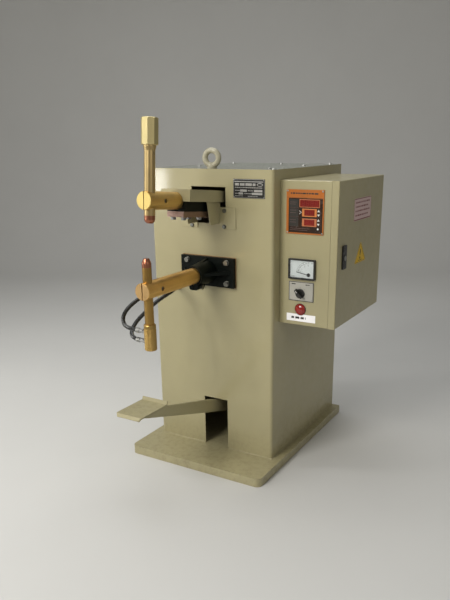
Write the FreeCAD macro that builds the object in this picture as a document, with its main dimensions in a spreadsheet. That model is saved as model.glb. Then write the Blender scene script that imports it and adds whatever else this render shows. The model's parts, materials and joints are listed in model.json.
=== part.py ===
import FreeCAD, Part
import math
import os
import Sketcher
from FreeCAD import Vector as V, Placement, Rotation

# Pedal-operated rocker-arm spot welder.
# Frame: +Z up, origin on the base's underside, under the cabinet's front face,
# on the cabinet's centre line. The front faces -Y, the control box is on +X.
# Millimetres and degrees throughout.

doc = FreeCAD.newDocument("SpotWelder")
sheet = doc.addObject("Spreadsheet::Sheet", "Dims")


class Q:
    """A driving dimension: its number, and its text as an expression over the sheet."""

    def __init__(self, v, s):
        self.v, self.s = v, s

    def _n(self, o):
        return (o.v, o.s) if isinstance(o, Q) else (float(o), repr(float(o)))

    def __add__(self, o):
        v, s = self._n(o)
        return Q(self.v + v, "(%s + %s)" % (self.s, s))

    __radd__ = __add__

    def __sub__(self, o):
        v, s = self._n(o)
        return Q(self.v - v, "(%s - %s)" % (self.s, s))

    def __rsub__(self, o):
        v, s = self._n(o)
        return Q(v - self.v, "(%s - %s)" % (s, self.s))

    def __mul__(self, o):
        v, s = self._n(o)
        return Q(self.v * v, "(%s * %s)" % (self.s, s))

    __rmul__ = __mul__

    def __truediv__(self, o):
        v, s = self._n(o)
        return Q(self.v / v, "(%s / %s)" % (self.s, s))

    def __neg__(self):
        return Q(-self.v, "(0 - %s)" % self.s)


class Dims:
    pass


D = Dims()
TABLE = [
    # cabinet and base
    ("cab_w", 489.6), ("cab_d", 580.0), ("cab_top", 1050.0), ("gauge", 2.5),
    ("base_w", 555.0), ("base_front", 154.4), ("base_back", 585.0), ("base_h", 31.7),
    # openings in the front panel
    ("mouth_l", -71.0), ("mouth_r", 65.0), ("mouth_lo", 871.0), ("mouth_hi", 992.0),
    ("slot_l", -40.0), ("slot_r", 60.0), ("slot_hi", 226.0),
    # the arms
    ("arm_x", -5.0), ("arm_r", 27.0), ("low_z", 705.0), ("low_front", 377.0),
    ("low_rod_y", -348.5), ("low_rod_r", 14.5), ("up_rod_r", 16.5),
    ("up_rod_y", -318.9), ("up_front", 347.4), ("slide_gap", 0.05),
    # the rocker, its pivot and its resting tilt
    ("piv_y", 170.0), ("piv_z", 929.2), ("tilt", 4.9), ("rock_half", 55.0),
    ("rock_wall", 4.0), ("rock_top", 36.4), ("rock_front", 189.0), ("rock_back", 436.0),
    ("shaft_r", 12.5), ("pin_r", 6.0), ("rod_lever", 244.0),
    # the pedal
    ("ped_x", 7.0), ("ped_t", 10.0), ("ped_piv_y", 310.0), ("ped_piv_z", 100.0),
    ("ped_lever", 104.0), ("ped_left", -89.0), ("ped_right", 12.0),
    # the connecting rod and its springs
    ("rod_r", 8.0), ("seat_r", 20.0),
    # the control box and its door
    ("box_out", 424.3), ("box_y0", 48.1), ("box_y1", 484.8), ("box_z0", 539.2), ("box_z1", 1017.7),
    ("box_t", 2.0), ("door_in", 424.8), ("door_out", 449.4), ("hinge_x", 424.55), ("hinge_y", 489.3),
    # hose
    ("hose_r", 6.5),
]
for i, (alias, value) in enumerate(TABLE):
    sheet.set("A%d" % (i + 1), alias)
    sheet.set("B%d" % (i + 1), repr(value))
    sheet.setAlias("B%d" % (i + 1), alias)
    setattr(D, alias, Q(value, "Dims." + alias))
doc.recompute()

NODES = {}
count = [0]


def num(e):
    return e.v if isinstance(e, Q) else float(e)


def bind(obj, prop, e):
    if isinstance(e, Q):
        obj.setExpression(prop, e.s)
    else:
        if prop.startswith("."):
            obj.setExpression(prop, repr(float(e)))
        else:
            setattr(obj, prop, float(e))


def fresh(stem):
    count[0] += 1
    return "%s_%03d" % (stem, count[0])


def at(obj, x, y, z, rot=None):
    if rot is not None:
        obj.Placement = Placement(V(num(x), num(y), num(z)), rot)
    else:
        obj.Placement.Base = V(num(x), num(y), num(z))
    for k, e in (("x", x), ("y", y), ("z", z)):
        if isinstance(e, Q):
            obj.setExpression(".Placement.Base." + k, e.s)
    return obj


def node(name, obj):
    obj.Label = name
    NODES[name] = obj
    return obj


def box(x0, x1, y0, y1, z0, z1):
    b = doc.addObject("Part::Box", fresh("block"))
    bind(b, "Length", x1 - x0)
    bind(b, "Width", y1 - y0)
    bind(b, "Height", z1 - z0)
    return at(b, x0, y0, z0)


DIRS = {
    "z": Rotation(), "-z": Rotation(V(1, 0, 0), 180),
    "y": Rotation(V(1, 0, 0), -90), "-y": Rotation(V(1, 0, 0), 90),
    "x": Rotation(V(0, 1, 0), 90), "-x": Rotation(V(0, 1, 0), -90),
}


def cyl(r, length, x, y, z, axis="z"):
    c = doc.addObject("Part::Cylinder", fresh("round"))
    bind(c, "Radius", r)
    bind(c, "Height", length)
    return at(c, x, y, z, DIRS[axis])


def cone(r1, r2, length, x, y, z, axis="z"):
    c = doc.addObject("Part::Cone", fresh("taper"))
    bind(c, "Radius1", r1)
    bind(c, "Radius2", r2)
    bind(c, "Height", length)
    return at(c, x, y, z, DIRS[axis])


def hexa(af, length, x, y, z, axis="z", spin=0.0, sides=6):
    p = doc.addObject("Part::Prism", fresh("hexagon"))
    p.Polygon = sides
    bind(p, "Circumradius", (af / 2.0) / math.cos(math.pi / sides))
    bind(p, "Height", length)
    return at(p, x, y, z, DIRS[axis].multiply(Rotation(V(0, 0, 1), spin)))


def fuse(*shapes):
    f = doc.addObject("Part::MultiFuse", fresh("joined"))
    f.Shapes = list(shapes)
    f.Refine = True
    return f


def group(*shapes):
    g = doc.addObject("Part::Compound", fresh("set"))
    g.Links = list(shapes)
    return g


def cut(base, *tools):
    c = doc.addObject("Part::Cut", fresh("cut"))
    c.Base = base
    c.Tool = tools[0] if len(tools) == 1 else group(*tools)
    c.Refine = True
    return c


def common(a, b):
    c = doc.addObject("Part::Common", fresh("shared"))
    c.Base, c.Tool = a, b
    return c


def rounded(base, r, pick):
    """Round every edge of base that pick accepts, given its two ends."""
    doc.recompute()
    edges = []
    for i, e in enumerate(base.Shape.Edges):
        if len(e.Vertexes) == 2 and pick(e.Vertexes[0].Point, e.Vertexes[1].Point):
            edges.append((i + 1, r, r))
    if not edges:
        raise RuntimeError("no edge to round on " + base.Name)
    f = doc.addObject("Part::Fillet", fresh("fillet"))
    f.Base = base
    f.Edges = edges
    return f


def upright(x=None, y=None):
    """Vertical edges, at that x or y where given."""

    def pick(a, b):
        if abs(a.x - b.x) > 1e-4 or abs(a.y - b.y) > 1e-4:
            return False
        ok = True
        if x is not None:
            ok = ok and min(abs(a.x - v) for v in x) < 1e-3
        if y is not None:
            ok = ok and min(abs(a.y - v) for v in y) < 1e-3
        return ok

    return pick


# ---- PartDesign helpers -------------------------------------------------------

def new_body():
    return doc.addObject("PartDesign::Body", fresh("Body"))


def sketch_on(body, plane):
    s = body.newObject("Sketcher::SketchObject", fresh("Sketch"))
    origin = [o for o in body.Origin.OriginFeatures if o.Role == plane + "_Plane"][0]
    s.AttachmentSupport = [(origin, "")]
    s.MapMode = "FlatFace"
    return s


def closed(s, pts):
    """A closed polygon whose every corner is placed by its own two constraints."""
    n = len(pts)
    first = s.GeometryCount
    vs = [V(num(a), num(b), 0) for a, b in pts]
    for i in range(n):
        s.addGeometry(Part.LineSegment(vs[i], vs[(i + 1) % n]), False)
    for i in range(n):
        s.addConstraint(Sketcher.Constraint("Coincident", first + i, 2, first + (i + 1) % n, 1))
    for i, (a, b) in enumerate(pts):
        for kind, e, axis in (("DistanceX", a, -2), ("DistanceY", b, -1)):
            if not isinstance(e, Q) and abs(e) < 1e-9:
                s.addConstraint(Sketcher.Constraint("PointOnObject", first + i, 1, axis))
                continue
            k = s.addConstraint(Sketcher.Constraint(kind, -1, 1, first + i, 1, num(e)))
            if isinstance(e, Q):
                s.setExpression("Constraints[%d]" % k, e.s)


def circle(s, cx, cy, r):
    g = s.addGeometry(Part.Circle(V(num(cx), num(cy), 0), V(0, 0, 1), num(r)), False)
    for kind, e in (("DistanceX", cx), ("DistanceY", cy)):
        if not isinstance(e, Q) and abs(e) < 1e-9:
            s.addConstraint(Sketcher.Constraint("PointOnObject", g, 3, -2 if kind == "DistanceX" else -1))
            continue
        k = s.addConstraint(Sketcher.Constraint(kind, -1, 1, g, 3, num(e)))
        if isinstance(e, Q):
            s.setExpression("Constraints[%d]" % k, e.s)
    k = s.addConstraint(Sketcher.Constraint("Radius", g, num(r)))
    if isinstance(r, Q):
        s.setExpression("Constraints[%d]" % k, r.s)


def padded(plane, pts, length, holes=()):
    """A flat piece: a polygon in one of the body's own planes, padded.
    XY pads towards +Z, XZ towards -Y, YZ towards +X."""
    b = new_body()
    s = sketch_on(b, plane)
    closed(s, pts)
    for h in holes:
        circle(s, *h)
    doc.recompute()
    p = b.newObject("PartDesign::Pad", fresh("Pad"))
    p.Profile = s
    bind(p, "Length", length)
    b.Tip = p
    doc.recompute()
    return b


def turned(pts):
    """A turned piece: its half section as (radius, height), about Z."""
    b = new_body()
    s = sketch_on(b, "XZ")
    closed(s, pts)
    doc.recompute()
    r = b.newObject("PartDesign::Revolution", fresh("Turn"))
    r.Profile = s
    r.ReferenceAxis = (s, ["V_Axis"])
    r.Angle = 360
    b.Tip = r
    doc.recompute()
    return b


def place(obj, x, y, z, axis="z"):
    return at(obj, x, y, z, DIRS[axis])


half = D.cab_w / 2

# ================================================================ base and cabinet

base = padded("XY", [(-D.base_w / 2, -D.base_front), (D.base_w / 2, -D.base_front),
                     (D.base_w / 2, D.base_back), (-D.base_w / 2, D.base_back)], D.base_h)
pad = base.Tip
fil = base.newObject("PartDesign::Fillet", fresh("Corner"))
names = []
for i, e in enumerate(pad.Shape.Edges):
    a, b = e.Vertexes[0].Point, e.Vertexes[1].Point
    if abs(a.z - b.z) > 1 and a.y < 0:
        names.append("Edge%d" % (i + 1))
fil.Base = (pad, names)
fil.Radius = 22
base.Tip = fil
doc.recompute()
node("base_plate", base)

wrap = rounded(box(-half, half, 0, D.cab_d - D.gauge, D.base_h, D.cab_top), 10.0, upright(y=[0.0]))
room = rounded(box(-half + D.gauge, half - D.gauge, D.gauge, D.cab_d + 10, 0, D.cab_top + 50), 7.5,
               upright(y=[D.gauge.v]))


def rim(z0, z1, width):
    """An inward flange all round the wrap's three walls."""
    return cut(rounded(box(-half + 0.5, half - 0.5, 0.5, D.cab_d - D.gauge, z0, z1), 9.5, upright(y=[0.5])),
               box(-half + width, half - width, width, D.cab_d + 5, z0 - 1, z1 + 1))


walls = fuse(cut(wrap, room), rim(D.cab_top - 2 * D.gauge, D.cab_top - D.gauge, 24.0),
             rim(D.base_h, D.base_h + D.gauge, 30.0),
             box(-half + 1, -half + 22, D.cab_d - 2 * D.gauge, D.cab_d - D.gauge, D.base_h, D.cab_top - D.gauge),
             box(half - 22, half - 1, D.cab_d - 2 * D.gauge, D.cab_d - D.gauge, D.base_h, D.cab_top - D.gauge))
through = 60.0
BOLTS = [(-80.0, 670.0), (80.0, 670.0), (-80.0, 742.0), (80.0, 742.0)]
GUARD = [(61.0, 915.0), (60.0, 862.0)]
SCREWS = [(-180, 218), (-209, 520), (13, 517), (185, 358), (205, 560), (198, 60), (232, 25)]
EYE = (1.0, 20.7)
holes = [box(D.mouth_l, D.mouth_r, -5, 20, D.mouth_lo, D.mouth_hi),
         box(D.slot_l, D.slot_r, -5, 40, 0, D.slot_hi),
         cyl(33.0, through, D.arm_x, -30, D.low_z, "y"),
         cyl(13.0, through, -140, -30, 662, "y"), cyl(13.0, through, -140, -30, 642, "y"),
         box(-153, -127, -5, 20, 642, 662),
         cyl(30.0, through, half - 30, 266, 778, "x")]
for dx, z in BOLTS:
    holes.append(cyl(5.5, through, D.arm_x + dx, -30, z, "y"))
for x, z in GUARD:
    holes.append(cyl(4.4, through, x, -30, z, "y"))
    holes.append(cyl(4.4, through, 2 * D.arm_x - x, -30, z, "y"))
for x, y in SCREWS:
    holes.append(cyl(2.5, 30, x, y, D.cab_top - 20))
holes.append(cyl(8.3, 60, EYE[0], EYE[1], D.cab_top - 40))
node("cabinet_shell", cut(walls, *holes))

slots = []
for zc in [700 + 22 * k for k in range(7)] + [240 + 22 * k for k in range(7)]:
    for xc in (-110.0, 110.0):
        slots.append(box(xc - 65, xc + 65, D.cab_d - 10, D.cab_d + 10, zc - 3.5, zc + 3.5))
slots.append(cyl(12.1, 40, -170, D.cab_d - 20, 120, "y"))
slots.append(cyl(8.1, 40, 150, D.cab_d - 20, 150, "y"))
slots.append(cyl(8.1, 40, 195, D.cab_d - 20, 150, "y"))
node("rear_panel", cut(box(-half, half, D.cab_d - D.gauge, D.cab_d, D.base_h, D.cab_top), *slots))

lid = rounded(box(-half + D.gauge + 0.3, half - D.gauge - 0.3, D.gauge + 0.3, D.cab_d - D.gauge - 0.3,
                  D.cab_top - D.gauge, D.cab_top), 7.0, upright(y=[2.8]))
node("top_cover", cut(lid, *[cyl(2.5, 30, x, y, D.cab_top - 20) for x, y in SCREWS],
                      cyl(8.3, 60, EYE[0], EYE[1], D.cab_top - 40)))

screws = []
for x, y in SCREWS:
    s = turned([(0, -9), (2.3, -9), (2.3, 0), (7.0, 0), (6.8, 2.2), (5.2, 4.0), (2.6, 4.9), (0, 5.0)])
    screws.append(place(s, x, y, D.cab_top))
node("cover_screws", group(*screws))

ring = doc.addObject("Part::Torus", fresh("ring"))
ring.Radius1 = 24.0
ring.Radius2 = 9.5
at(ring, EYE[0], EYE[1], D.cab_top + 34.5, Rotation(V(0, 0, 1), 10).multiply(Rotation(V(1, 0, 0), 90)))
node("eye_bolt", fuse(ring, cyl(17.0, 6, EYE[0], EYE[1], D.cab_top), cone(14.0, 9.5, 9, EYE[0], EYE[1], D.cab_top + 6),
                      cyl(8.0, 26, EYE[0], EYE[1], D.cab_top - 26),
                      hexa(26.0, 13, EYE[0], EYE[1], D.cab_top - 18 - D.gauge * 2 + 5)))

node("nameplate", box(96, 213.5, -1.2, 0, 959, 1020))

# angle guards either side of the mouth
right = cut(fuse(fuse(box(38, 105, -D.gauge, 0, 854, 926), box(38, 44, -D.gauge, 0, 920, 949)),
                 place(padded("YZ", [(-0.5, 872), (-58.5, 872), (-76, 949), (-0.5, 949)], D.gauge), 38, 0, 0)),
            *[cyl(4.4, 20, x, -10, z, "y") for x, z in GUARD])
left = cut(fuse(fuse(box(2 * D.arm_x - 105, 2 * D.arm_x - 38, -D.gauge, 0, 854, 926), box(2 * D.arm_x - 44, 2 * D.arm_x - 38, -D.gauge, 0, 920, 949)),
                place(padded("YZ", [(-0.5, 872), (-58.5, 872), (-76, 949), (-0.5, 949)], D.gauge),
                      2 * D.arm_x - 38 - D.gauge, 0, 0)),
           *[cyl(4.4, 20, 2 * D.arm_x - x, -10, z, "y") for x, z in GUARD])
node("mouth_guards", group(right, left))

# ================================================================ lower arm

boss = cone(43.0, 33.5, 86, D.arm_x, -15, D.low_z, "-y")
plate = box(D.arm_x - 107, D.arm_x + 107, -17, -3, 655, 757)
ribs = padded("XY", [(D.arm_x - 96, -16), (D.arm_x - 31, -94), (D.arm_x + 31, -94), (D.arm_x + 96, -16)], 9)
place(ribs, 0, 0, D.low_z - 2)
spine = padded("YZ", [(-16, 700), (-80, 700), (-80, 738), (-16, 754)], 9)
place(spine, D.arm_x - 4.5, 0, 0)
lug = rounded(box(D.arm_x - 17, D.arm_x + 17, -103, -58, 656, 690), 8.0,
              lambda a, b: abs(a.z - 656) < 1e-3 and abs(b.z - 656) < 1e-3 and abs(a.y - b.y) > 1)
bracket = cut(fuse(plate, boss, ribs, spine, lug),
              cyl(D.arm_r + D.slide_gap, 140, D.arm_x, 10, D.low_z, "-y"),
              box(D.arm_x - 1.5, D.arm_x + 1.5, -110, -40, 640, D.low_z),
              cyl(5.2, 60, D.arm_x - 30, -81, 665, "x"),
              *[cyl(5.5, 30, D.arm_x + dx, -25, z, "y") for dx, z in BOLTS])
node("arm_bracket", bracket)
node("bracket_insulator", cut(box(D.arm_x - 109, D.arm_x + 109, -3, 0, 653, 759),
                              cyl(33.0, 20, D.arm_x, -10, D.low_z, "y"),
                              *[cyl(5.5, 30, D.arm_x + dx, -25, z, "y") for dx, z in BOLTS]))

bolts = []
for dx, z in BOLTS:
    bolts.append(fuse(hexa(16.0, 6.5, D.arm_x + dx, -25.5, z, "y", 12), cyl(10.0, 2.0, D.arm_x + dx, -19, z, "y"),
                      cyl(5.0, 31, D.arm_x + dx, -20, z, "y"), hexa(16.0, 8, D.arm_x + dx, D.gauge, z, "y")))
for x, z in GUARD:
    for xx in (x, 2 * D.arm_x - x):
        bolts.append(fuse(hexa(11.0, 4.5, xx, -D.gauge - 5.5, z, "y", 20), cyl(7.5, 1.2, xx, -D.gauge - 1.2, z, "y"),
                          cyl(4.0, 14, xx, -D.gauge - 1, z, "y"), hexa(11.0, 5, xx, D.gauge, z, "y")))
bolts.append(fuse(hexa(15.0, 6.5, D.arm_x - 23.5, -81, 665, "x"), cyl(5.0, 44, D.arm_x - 22, -81, 665, "x"),
                  hexa(15.0, 8, D.arm_x + 17, -81, 665, "x")))
node("front_bolts", group(*bolts))

low = cut(fuse(cyl(D.arm_r, D.low_front - 1.5 + 30, D.arm_x, 30, D.low_z, "-y"),
               cone(D.arm_r, D.arm_r - 1.5, 1.5, D.arm_x, -D.low_front + 1.5, D.low_z, "-y")),
          cyl(D.low_rod_r + D.slide_gap, 80, D.arm_x, D.low_rod_y, D.low_z - 40),
          box(D.arm_x - 1.5, D.arm_x + 1.5, -D.low_front - 5, D.low_rod_y + 62, D.low_z - 40, D.low_z + 40),
          cyl(4.3, 40, D.arm_x - 10, D.low_rod_y + 41, D.low_z, "x"),
          cyl(7.0, 20, D.arm_x + 20, D.low_rod_y + 41, D.low_z, "x"))
node("lower_arm", low)

# the lower electrode holder, water-cooled from the cap at its foot
lz = 590.0
node("lower_holder", place(turned([(0, 174), (5, 174), (5, 0), (D.low_rod_r, 0), (D.low_rod_r, 186), (0, 186)]),
                           D.arm_x, D.low_rod_y, lz))
node("lower_tip", place(turned([(0, 0), (D.low_rod_r, 0), (D.low_rod_r, 12), (D.low_rod_r - 1.6, 18), (8.5, 27), (0, 27)]),
                        D.arm_x, D.low_rod_y, lz + 186))
node("lower_cap", place(turned([(0, 0), (17, 0), (19.2, 2.4), (19.2, 81.5), (17.6, 84), (D.low_rod_r + D.slide_gap, 84),
                                (D.low_rod_r + D.slide_gap, 70), (0, 70)]),
                        D.arm_x, D.low_rod_y, 514))
nip = []
for z in (572.0, 541.0):
    n = fuse(hexa(15.0, 8, D.arm_x - 18.2, D.low_rod_y, z, "-x"), cyl(D.hose_r, 15.8, D.arm_x - 25.2, D.low_rod_y, z, "-x"))
    nip.append(cut(n, cyl(3.0, 14, D.arm_x - 28, D.low_rod_y, z, "-x"),
                   cyl(19.25, 120, D.arm_x, D.low_rod_y, 500)))
node("hose_nipples", group(*nip))

grommet = fuse(cyl(18.0, 4, -140, -4, 662, "y"), cyl(18.0, 4, -140, -4, 642, "y"), box(-158, -122, -4, 0, 642, 662),
               cyl(12.9, 8, -140, -1, 662, "y"), cyl(12.9, 8, -140, -1, 642, "y"), box(-152.9, -127.1, -1, 7, 642, 662))
node("hose_grommet", grommet)

OUTER = [(-46, -348.5, 572), (-76, -348.5, 572), (-107, -351, 580), (-124, -335, 606), (-122, -300, 631),
         (-111, -254, 652), (-102, -202, 664), (-105, -150, 670), (-118, -99, 669), (-140, -48, 662),
         (-140, -4, 662)]
INNER = [(-46, -348.5, 541), (-73, -348.5, 541), (-98, -330, 555), (-105, -293, 579), (-96, -251, 604),
         (-83, -204, 632), (-73, -155, 647), (-78, -108, 653), (-98, -76, 652), (-125, -50, 647),
         (-140, -27, 642), (-140, -4, 642)]


def hose(name, pts):
    """A plain tube: straight runs joined by tangent arcs, round in section."""
    p = [V(*q) for q in pts]
    edges, here, radii = [], p[0], []
    for i in range(1, len(p) - 1):
        u, w = p[i] - p[i - 1], p[i + 1] - p[i]
        lu, lw = u.Length, w.Length
        u, w = u.multiply(1 / lu), w.multiply(1 / lw)
        turn = math.acos(max(-1.0, min(1.0, u.dot(w))))
        reach = 0.45 * min(lu, lw)
        r = reach / math.tan(turn / 2)
        radii.append(round(r, 1))
        a, b = p[i] - u * reach, p[i] + w * reach
        side = (w - u).normalize()
        mid = p[i] + side * (r / math.cos(turn / 2) - r)
        edges.append(Part.LineSegment(here, a).toShape())
        edges.append(Part.Arc(a, mid, b).toShape())
        here = b
    edges.append(Part.LineSegment(here, p[-1]).toShape())
    path = Part.Wire(edges)
    start = (p[1] - p[0]).normalize()
    ring = Part.Wire([Part.makeCircle(D.hose_r.v, p[0], start)])
    tube = path.makePipeShell([ring], True, False)
    f = doc.addObject("Part::Feature", name + "_tube")
    f.Shape = tube
    want = math.pi * D.hose_r.v ** 2 * path.Length
    print(name, "length", round(path.Length, 1), "volume/expected", round(tube.Volume / want, 4), "radii", radii)
    return node(name, f)


hose("hose_outer", OUTER)
hose("hose_inner", INNER)

# ================================================================ rocker (drawn level, then tilted)

TILT = Placement(V(0, 0, 0), Rotation(V(1, 0, 0), -D.tilt.v), V(0, D.piv_y.v, D.piv_z.v))


def tilted(name, obj):
    for k in "xyz":
        obj.setExpression(".Placement.Base." + k, None)
    obj.Placement = TILT.multiply(obj.Placement)
    return node(name, obj)


zA = D.piv_z
side_pts = [(-D.rock_front, zA - 0.7), (60, zA - 0.7), (125, zA - 26), (D.rock_back, zA - 26),
            (D.rock_back, zA + D.rock_top), (-D.rock_front, zA + D.rock_top)]
side_holes = [(D.piv_y, D.piv_z, D.shaft_r), (D.piv_y + D.rod_lever, D.piv_z, D.pin_r)]
wall_a = place(padded("YZ", side_pts, D.rock_wall, side_holes), D.arm_x - D.rock_half, 0, 0)
wall_b = place(padded("YZ", side_pts, D.rock_wall, side_holes), D.arm_x + D.rock_half - D.rock_wall, 0, 0)
roof = box(D.arm_x - D.rock_half + 1, D.arm_x + D.rock_half - 1, -D.rock_front, D.rock_back,
           zA + D.rock_top - D.rock_wall, zA + D.rock_top)
nose = box(D.arm_x - D.rock_half + 1, D.arm_x + D.rock_half - 1, -D.rock_front, -D.rock_front + D.rock_wall,
           zA - 0.7, zA + D.rock_top)
channel = cut(fuse(wall_a, wall_b, roof, nose),
              cyl(D.arm_r + 0.6, 20, D.arm_x, -D.rock_front + 10, zA, "-y"))
tilted("rocker_frame", channel)
tilted("rocker_shaft", group(cyl(D.shaft_r, 210, D.arm_x - 105, D.piv_y, D.piv_z, "x"),
                             cyl(D.pin_r, 114, D.arm_x - 57, D.piv_y + D.rod_lever, D.piv_z, "x")))

block = box(D.arm_x - 34, D.arm_x + 34, -D.rock_front + 4.2, -58, zA - 32, zA + 30)
CLAMP = (-171.0, -84.0)
clamp = cut(block, cyl(D.arm_r + D.slide_gap, 160, D.arm_x, -50, zA, "-y"),
            box(D.arm_x - 2, D.arm_x + 2, -D.rock_front, -50, zA - 40, zA),
            *[cyl(5.1, 30, D.arm_x + dx, y, zA - 60) for y in CLAMP for dx in (-20.0, 20.0)])
tilted("upper_clamp", clamp)
hang = []
for y in CLAMP:
    for dx in (-20.0, 20.0):
        hang.append(fuse(hexa(16.0, 7, D.arm_x + dx, y, zA - 59.3), cyl(9.5, 2, D.arm_x + dx, y, zA - 52.3),
                         cyl(5.0, 20, D.arm_x + dx, y, zA - 51)))
tilted("rocker_bolts", group(*hang))

up = cut(fuse(cyl(D.arm_r, D.up_front - 1.5 - 70, D.arm_x, -70, zA, "-y"),
              cone(D.arm_r, D.arm_r - 1.5, 1.5, D.arm_x, -D.up_front + 1.5, zA, "-y")),
         cyl(D.up_rod_r + D.slide_gap, 80, D.arm_x, D.up_rod_y, zA - 40),
         box(D.arm_x - 1.5, D.arm_x + 1.5, -D.up_front - 5, D.up_rod_y + 64, zA - 40, zA + 40),
         cyl(4.3, 40, D.arm_x - 10, D.up_rod_y + 44.4, zA, "x"),
         cyl(7.0, 20, D.arm_x + 20, D.up_rod_y + 44.4, zA, "x"))
tilted("upper_arm", up)
tilted("upper_holder", place(turned([(0, 10), (5, 10), (5, 201), (D.up_rod_r + 2.6, 201), (D.up_rod_r + 2.6, 197),
                                     (D.up_rod_r, 186), (D.up_rod_r, 0), (0, 0)]), D.arm_x, D.up_rod_y, zA - 43.5))
cap = common(hexa(48.0, 76, D.arm_x, D.up_rod_y, zA + 157.5, "z", 22.5, 8),
             place(turned([(0, 0), (23.2, 0), (26.4, 3.2), (26.4, 72.5), (23.0, 76), (0, 76)]), D.arm_x, D.up_rod_y, zA + 157.5))
tilted("upper_cap", cap)
tilted("upper_tip", place(turned([(0, 0), (D.up_rod_r, 0), (D.up_rod_r, -13), (D.up_rod_r - 2.2, -18.5), (9, -23.1), (0, -23.1)]),
                          D.arm_x, D.up_rod_y, zA - 43.5))

# flexible laminated shunt: clamped under the rocker, hanging in a bend to the fixed bus
def lev(y, h):
    """A point of the level rocker, h above its axis, as it stands tilted."""
    c, s = math.cos(math.radians(D.tilt.v)), math.sin(math.radians(D.tilt.v))
    return (D.piv_y.v + (y - D.piv_y.v) * c + h * s, D.piv_z.v - (y - D.piv_y.v) * s + h * c)


mid = [lev(-189, -41.2), lev(-58, -41.2)]
line = list(mid)
line += [(-20.0, 901.0), (12.0, 894.5), (42.0, 883.0), (66.0, 866.0), (83.0, 843.0), (93.4, 815.0), (96.9, 785.0), (96.9, 735.0)]
up_side, down_side = [], []
for i, (y, z) in enumerate(line):
    a = line[max(0, i - 1)]
    b = line[min(len(line) - 1, i + 1)]
    ty, tz = b[0] - a[0], b[1] - a[1]
    if i == 0:
        ty, tz = line[1][0] - y, line[1][1] - z
    if i == 1:
        ty, tz = y - line[0][0], z - line[0][1]
    m = math.hypot(ty, tz)
    ny, nz = -tz / m, ty / m
    up_side.append((y + 9 * ny, z + 9 * nz))
    down_side.append((y - 9 * ny, z - 9 * nz))
strap = place(padded("YZ", up_side + down_side[::-1], 64), D.arm_x - 32, 0, 0)
tools = []
for y in CLAMP:
    for dx in (-20.0, 20.0):
        c = cyl(5.6, 30, D.arm_x + dx, y, zA - 60)
        c.Placement = TILT.multiply(Placement(V(D.arm_x.v + dx, y, D.piv_z.v - 60), Rotation()))
        c.setExpression(".Placement.Base.x", None)
        c.setExpression(".Placement.Base.z", None)
        tools.append(c)
node("shunt", cut(strap, *tools))

bear = []
for s in (-85.0, 85.0):
    bear.append(cut(rounded(box(D.arm_x + s - 12, D.arm_x + s + 12, D.piv_y - 26, D.piv_y + 26, D.piv_z - 34.2, D.piv_z + 22),
                            10.0, lambda a, b: abs(a.z - D.piv_z.v - 22) < 1e-3 and abs(b.z - D.piv_z.v - 22) < 1e-3
                            and abs(a.x - b.x) > 1),
                    cyl(D.shaft_r + 0.06, 60, D.arm_x + s - 30, D.piv_y, D.piv_z, "x")))
node("rocker_bearings", group(*bear))

inner = half - D.gauge
rails = [fuse(box(-inner, inner, D.piv_y - 32, D.piv_y + 32, D.piv_z - 42.2, D.piv_z - 34.2),
              box(-inner, inner, D.piv_y - 32, D.piv_y - 26, D.piv_z - 76, D.piv_z - 40)),
         fuse(box(-inner, inner, 136, 176, 292, 300), box(-inner, inner, 136, 142, 256, 295)),
         fuse(box(-inner, inner, 264, 304, 292, 300), box(-inner, inner, 298, 304, 256, 295)),
         cut(fuse(box(-inner, inner, 382, 446, 560, 568), box(-inner, inner, 440, 446, 530, 562)),
             cyl(10.5, 30, D.ped_x, 413.4, 550))]
node("support_rails", group(*rails))

core = cut(box(-95, 95, 140, 300, 300, 520), box(-65, -25, 100, 340, 335, 485), box(25, 65, 100, 340, 335, 485))
node("transformer_core", core)
node("transformer_coils", cut(rounded(box(-62, 62, 118, 322, 338, 482), 14.0, upright()),
                              box(-25.5, 25.5, 139.5, 300.5, 330, 490)))
bus_low = fuse(box(-55, -7, 106, 118, 345, 592), box(-55, D.arm_x + 26, 30, 118, 580, 592),
               box(D.arm_x - 26, D.arm_x + 26, 30, 42, 580, 735))
bus_up = fuse(box(3, 57, 106, 118, 345, 745), box(D.arm_x - 32, 57, 106, 118, 735, 800))
node("secondary_bus", group(bus_low, bus_up))

# ================================================================ pedal and connecting rod

px0, px1 = D.ped_x - D.ped_t / 2, D.ped_x + D.ped_t / 2
drop = math.radians(5.75)
pin_y = D.ped_piv_y + D.ped_lever * math.cos(drop)
pin_z = D.ped_piv_z - D.ped_lever * math.sin(drop)
arm = padded("YZ", [(-421, 311.6), (-304, 309.7), (-80, 247), (285, 128), (345, 118), (405, 107.5), (424, 102),
                    (431.5, 92), (430, 80), (420, 72), (400, 71), (340, 75), (300, 74), (270, 84), (37, 161.5),
                    (-77, 197), (-319, 277), (-412, 308)], D.ped_t,
             [(D.ped_piv_y, D.ped_piv_z, D.shaft_r), (pin_y, pin_z, D.pin_r)])
node("pedal_arm", place(arm, px0, 0, 0))
tread = padded("YZ", [(-300.5, 324.5), (-305.2, 314.2), (-436.5, 316.6), (-444.5, 307.8), (-441.4, 305.0),
                      (-434.6, 312.5), (-302.4, 310.1), (-296.7, 322.8)], D.ped_right - D.ped_left)
place(tread, D.ped_left, 0, 0)
outline = rounded(box(D.ped_left, D.ped_right, -444.6, -290, 290, 340), 16.0, upright(y=[-444.6]))
node("pedal_plate", common(tread, outline))
node("pedal_shaft", group(cyl(D.shaft_r, 168, D.ped_x - 84, D.ped_piv_y, D.ped_piv_z, "x"),
                          cyl(D.pin_r, 34, D.ped_x - 17, pin_y, pin_z, "x")))
feet = []
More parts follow.
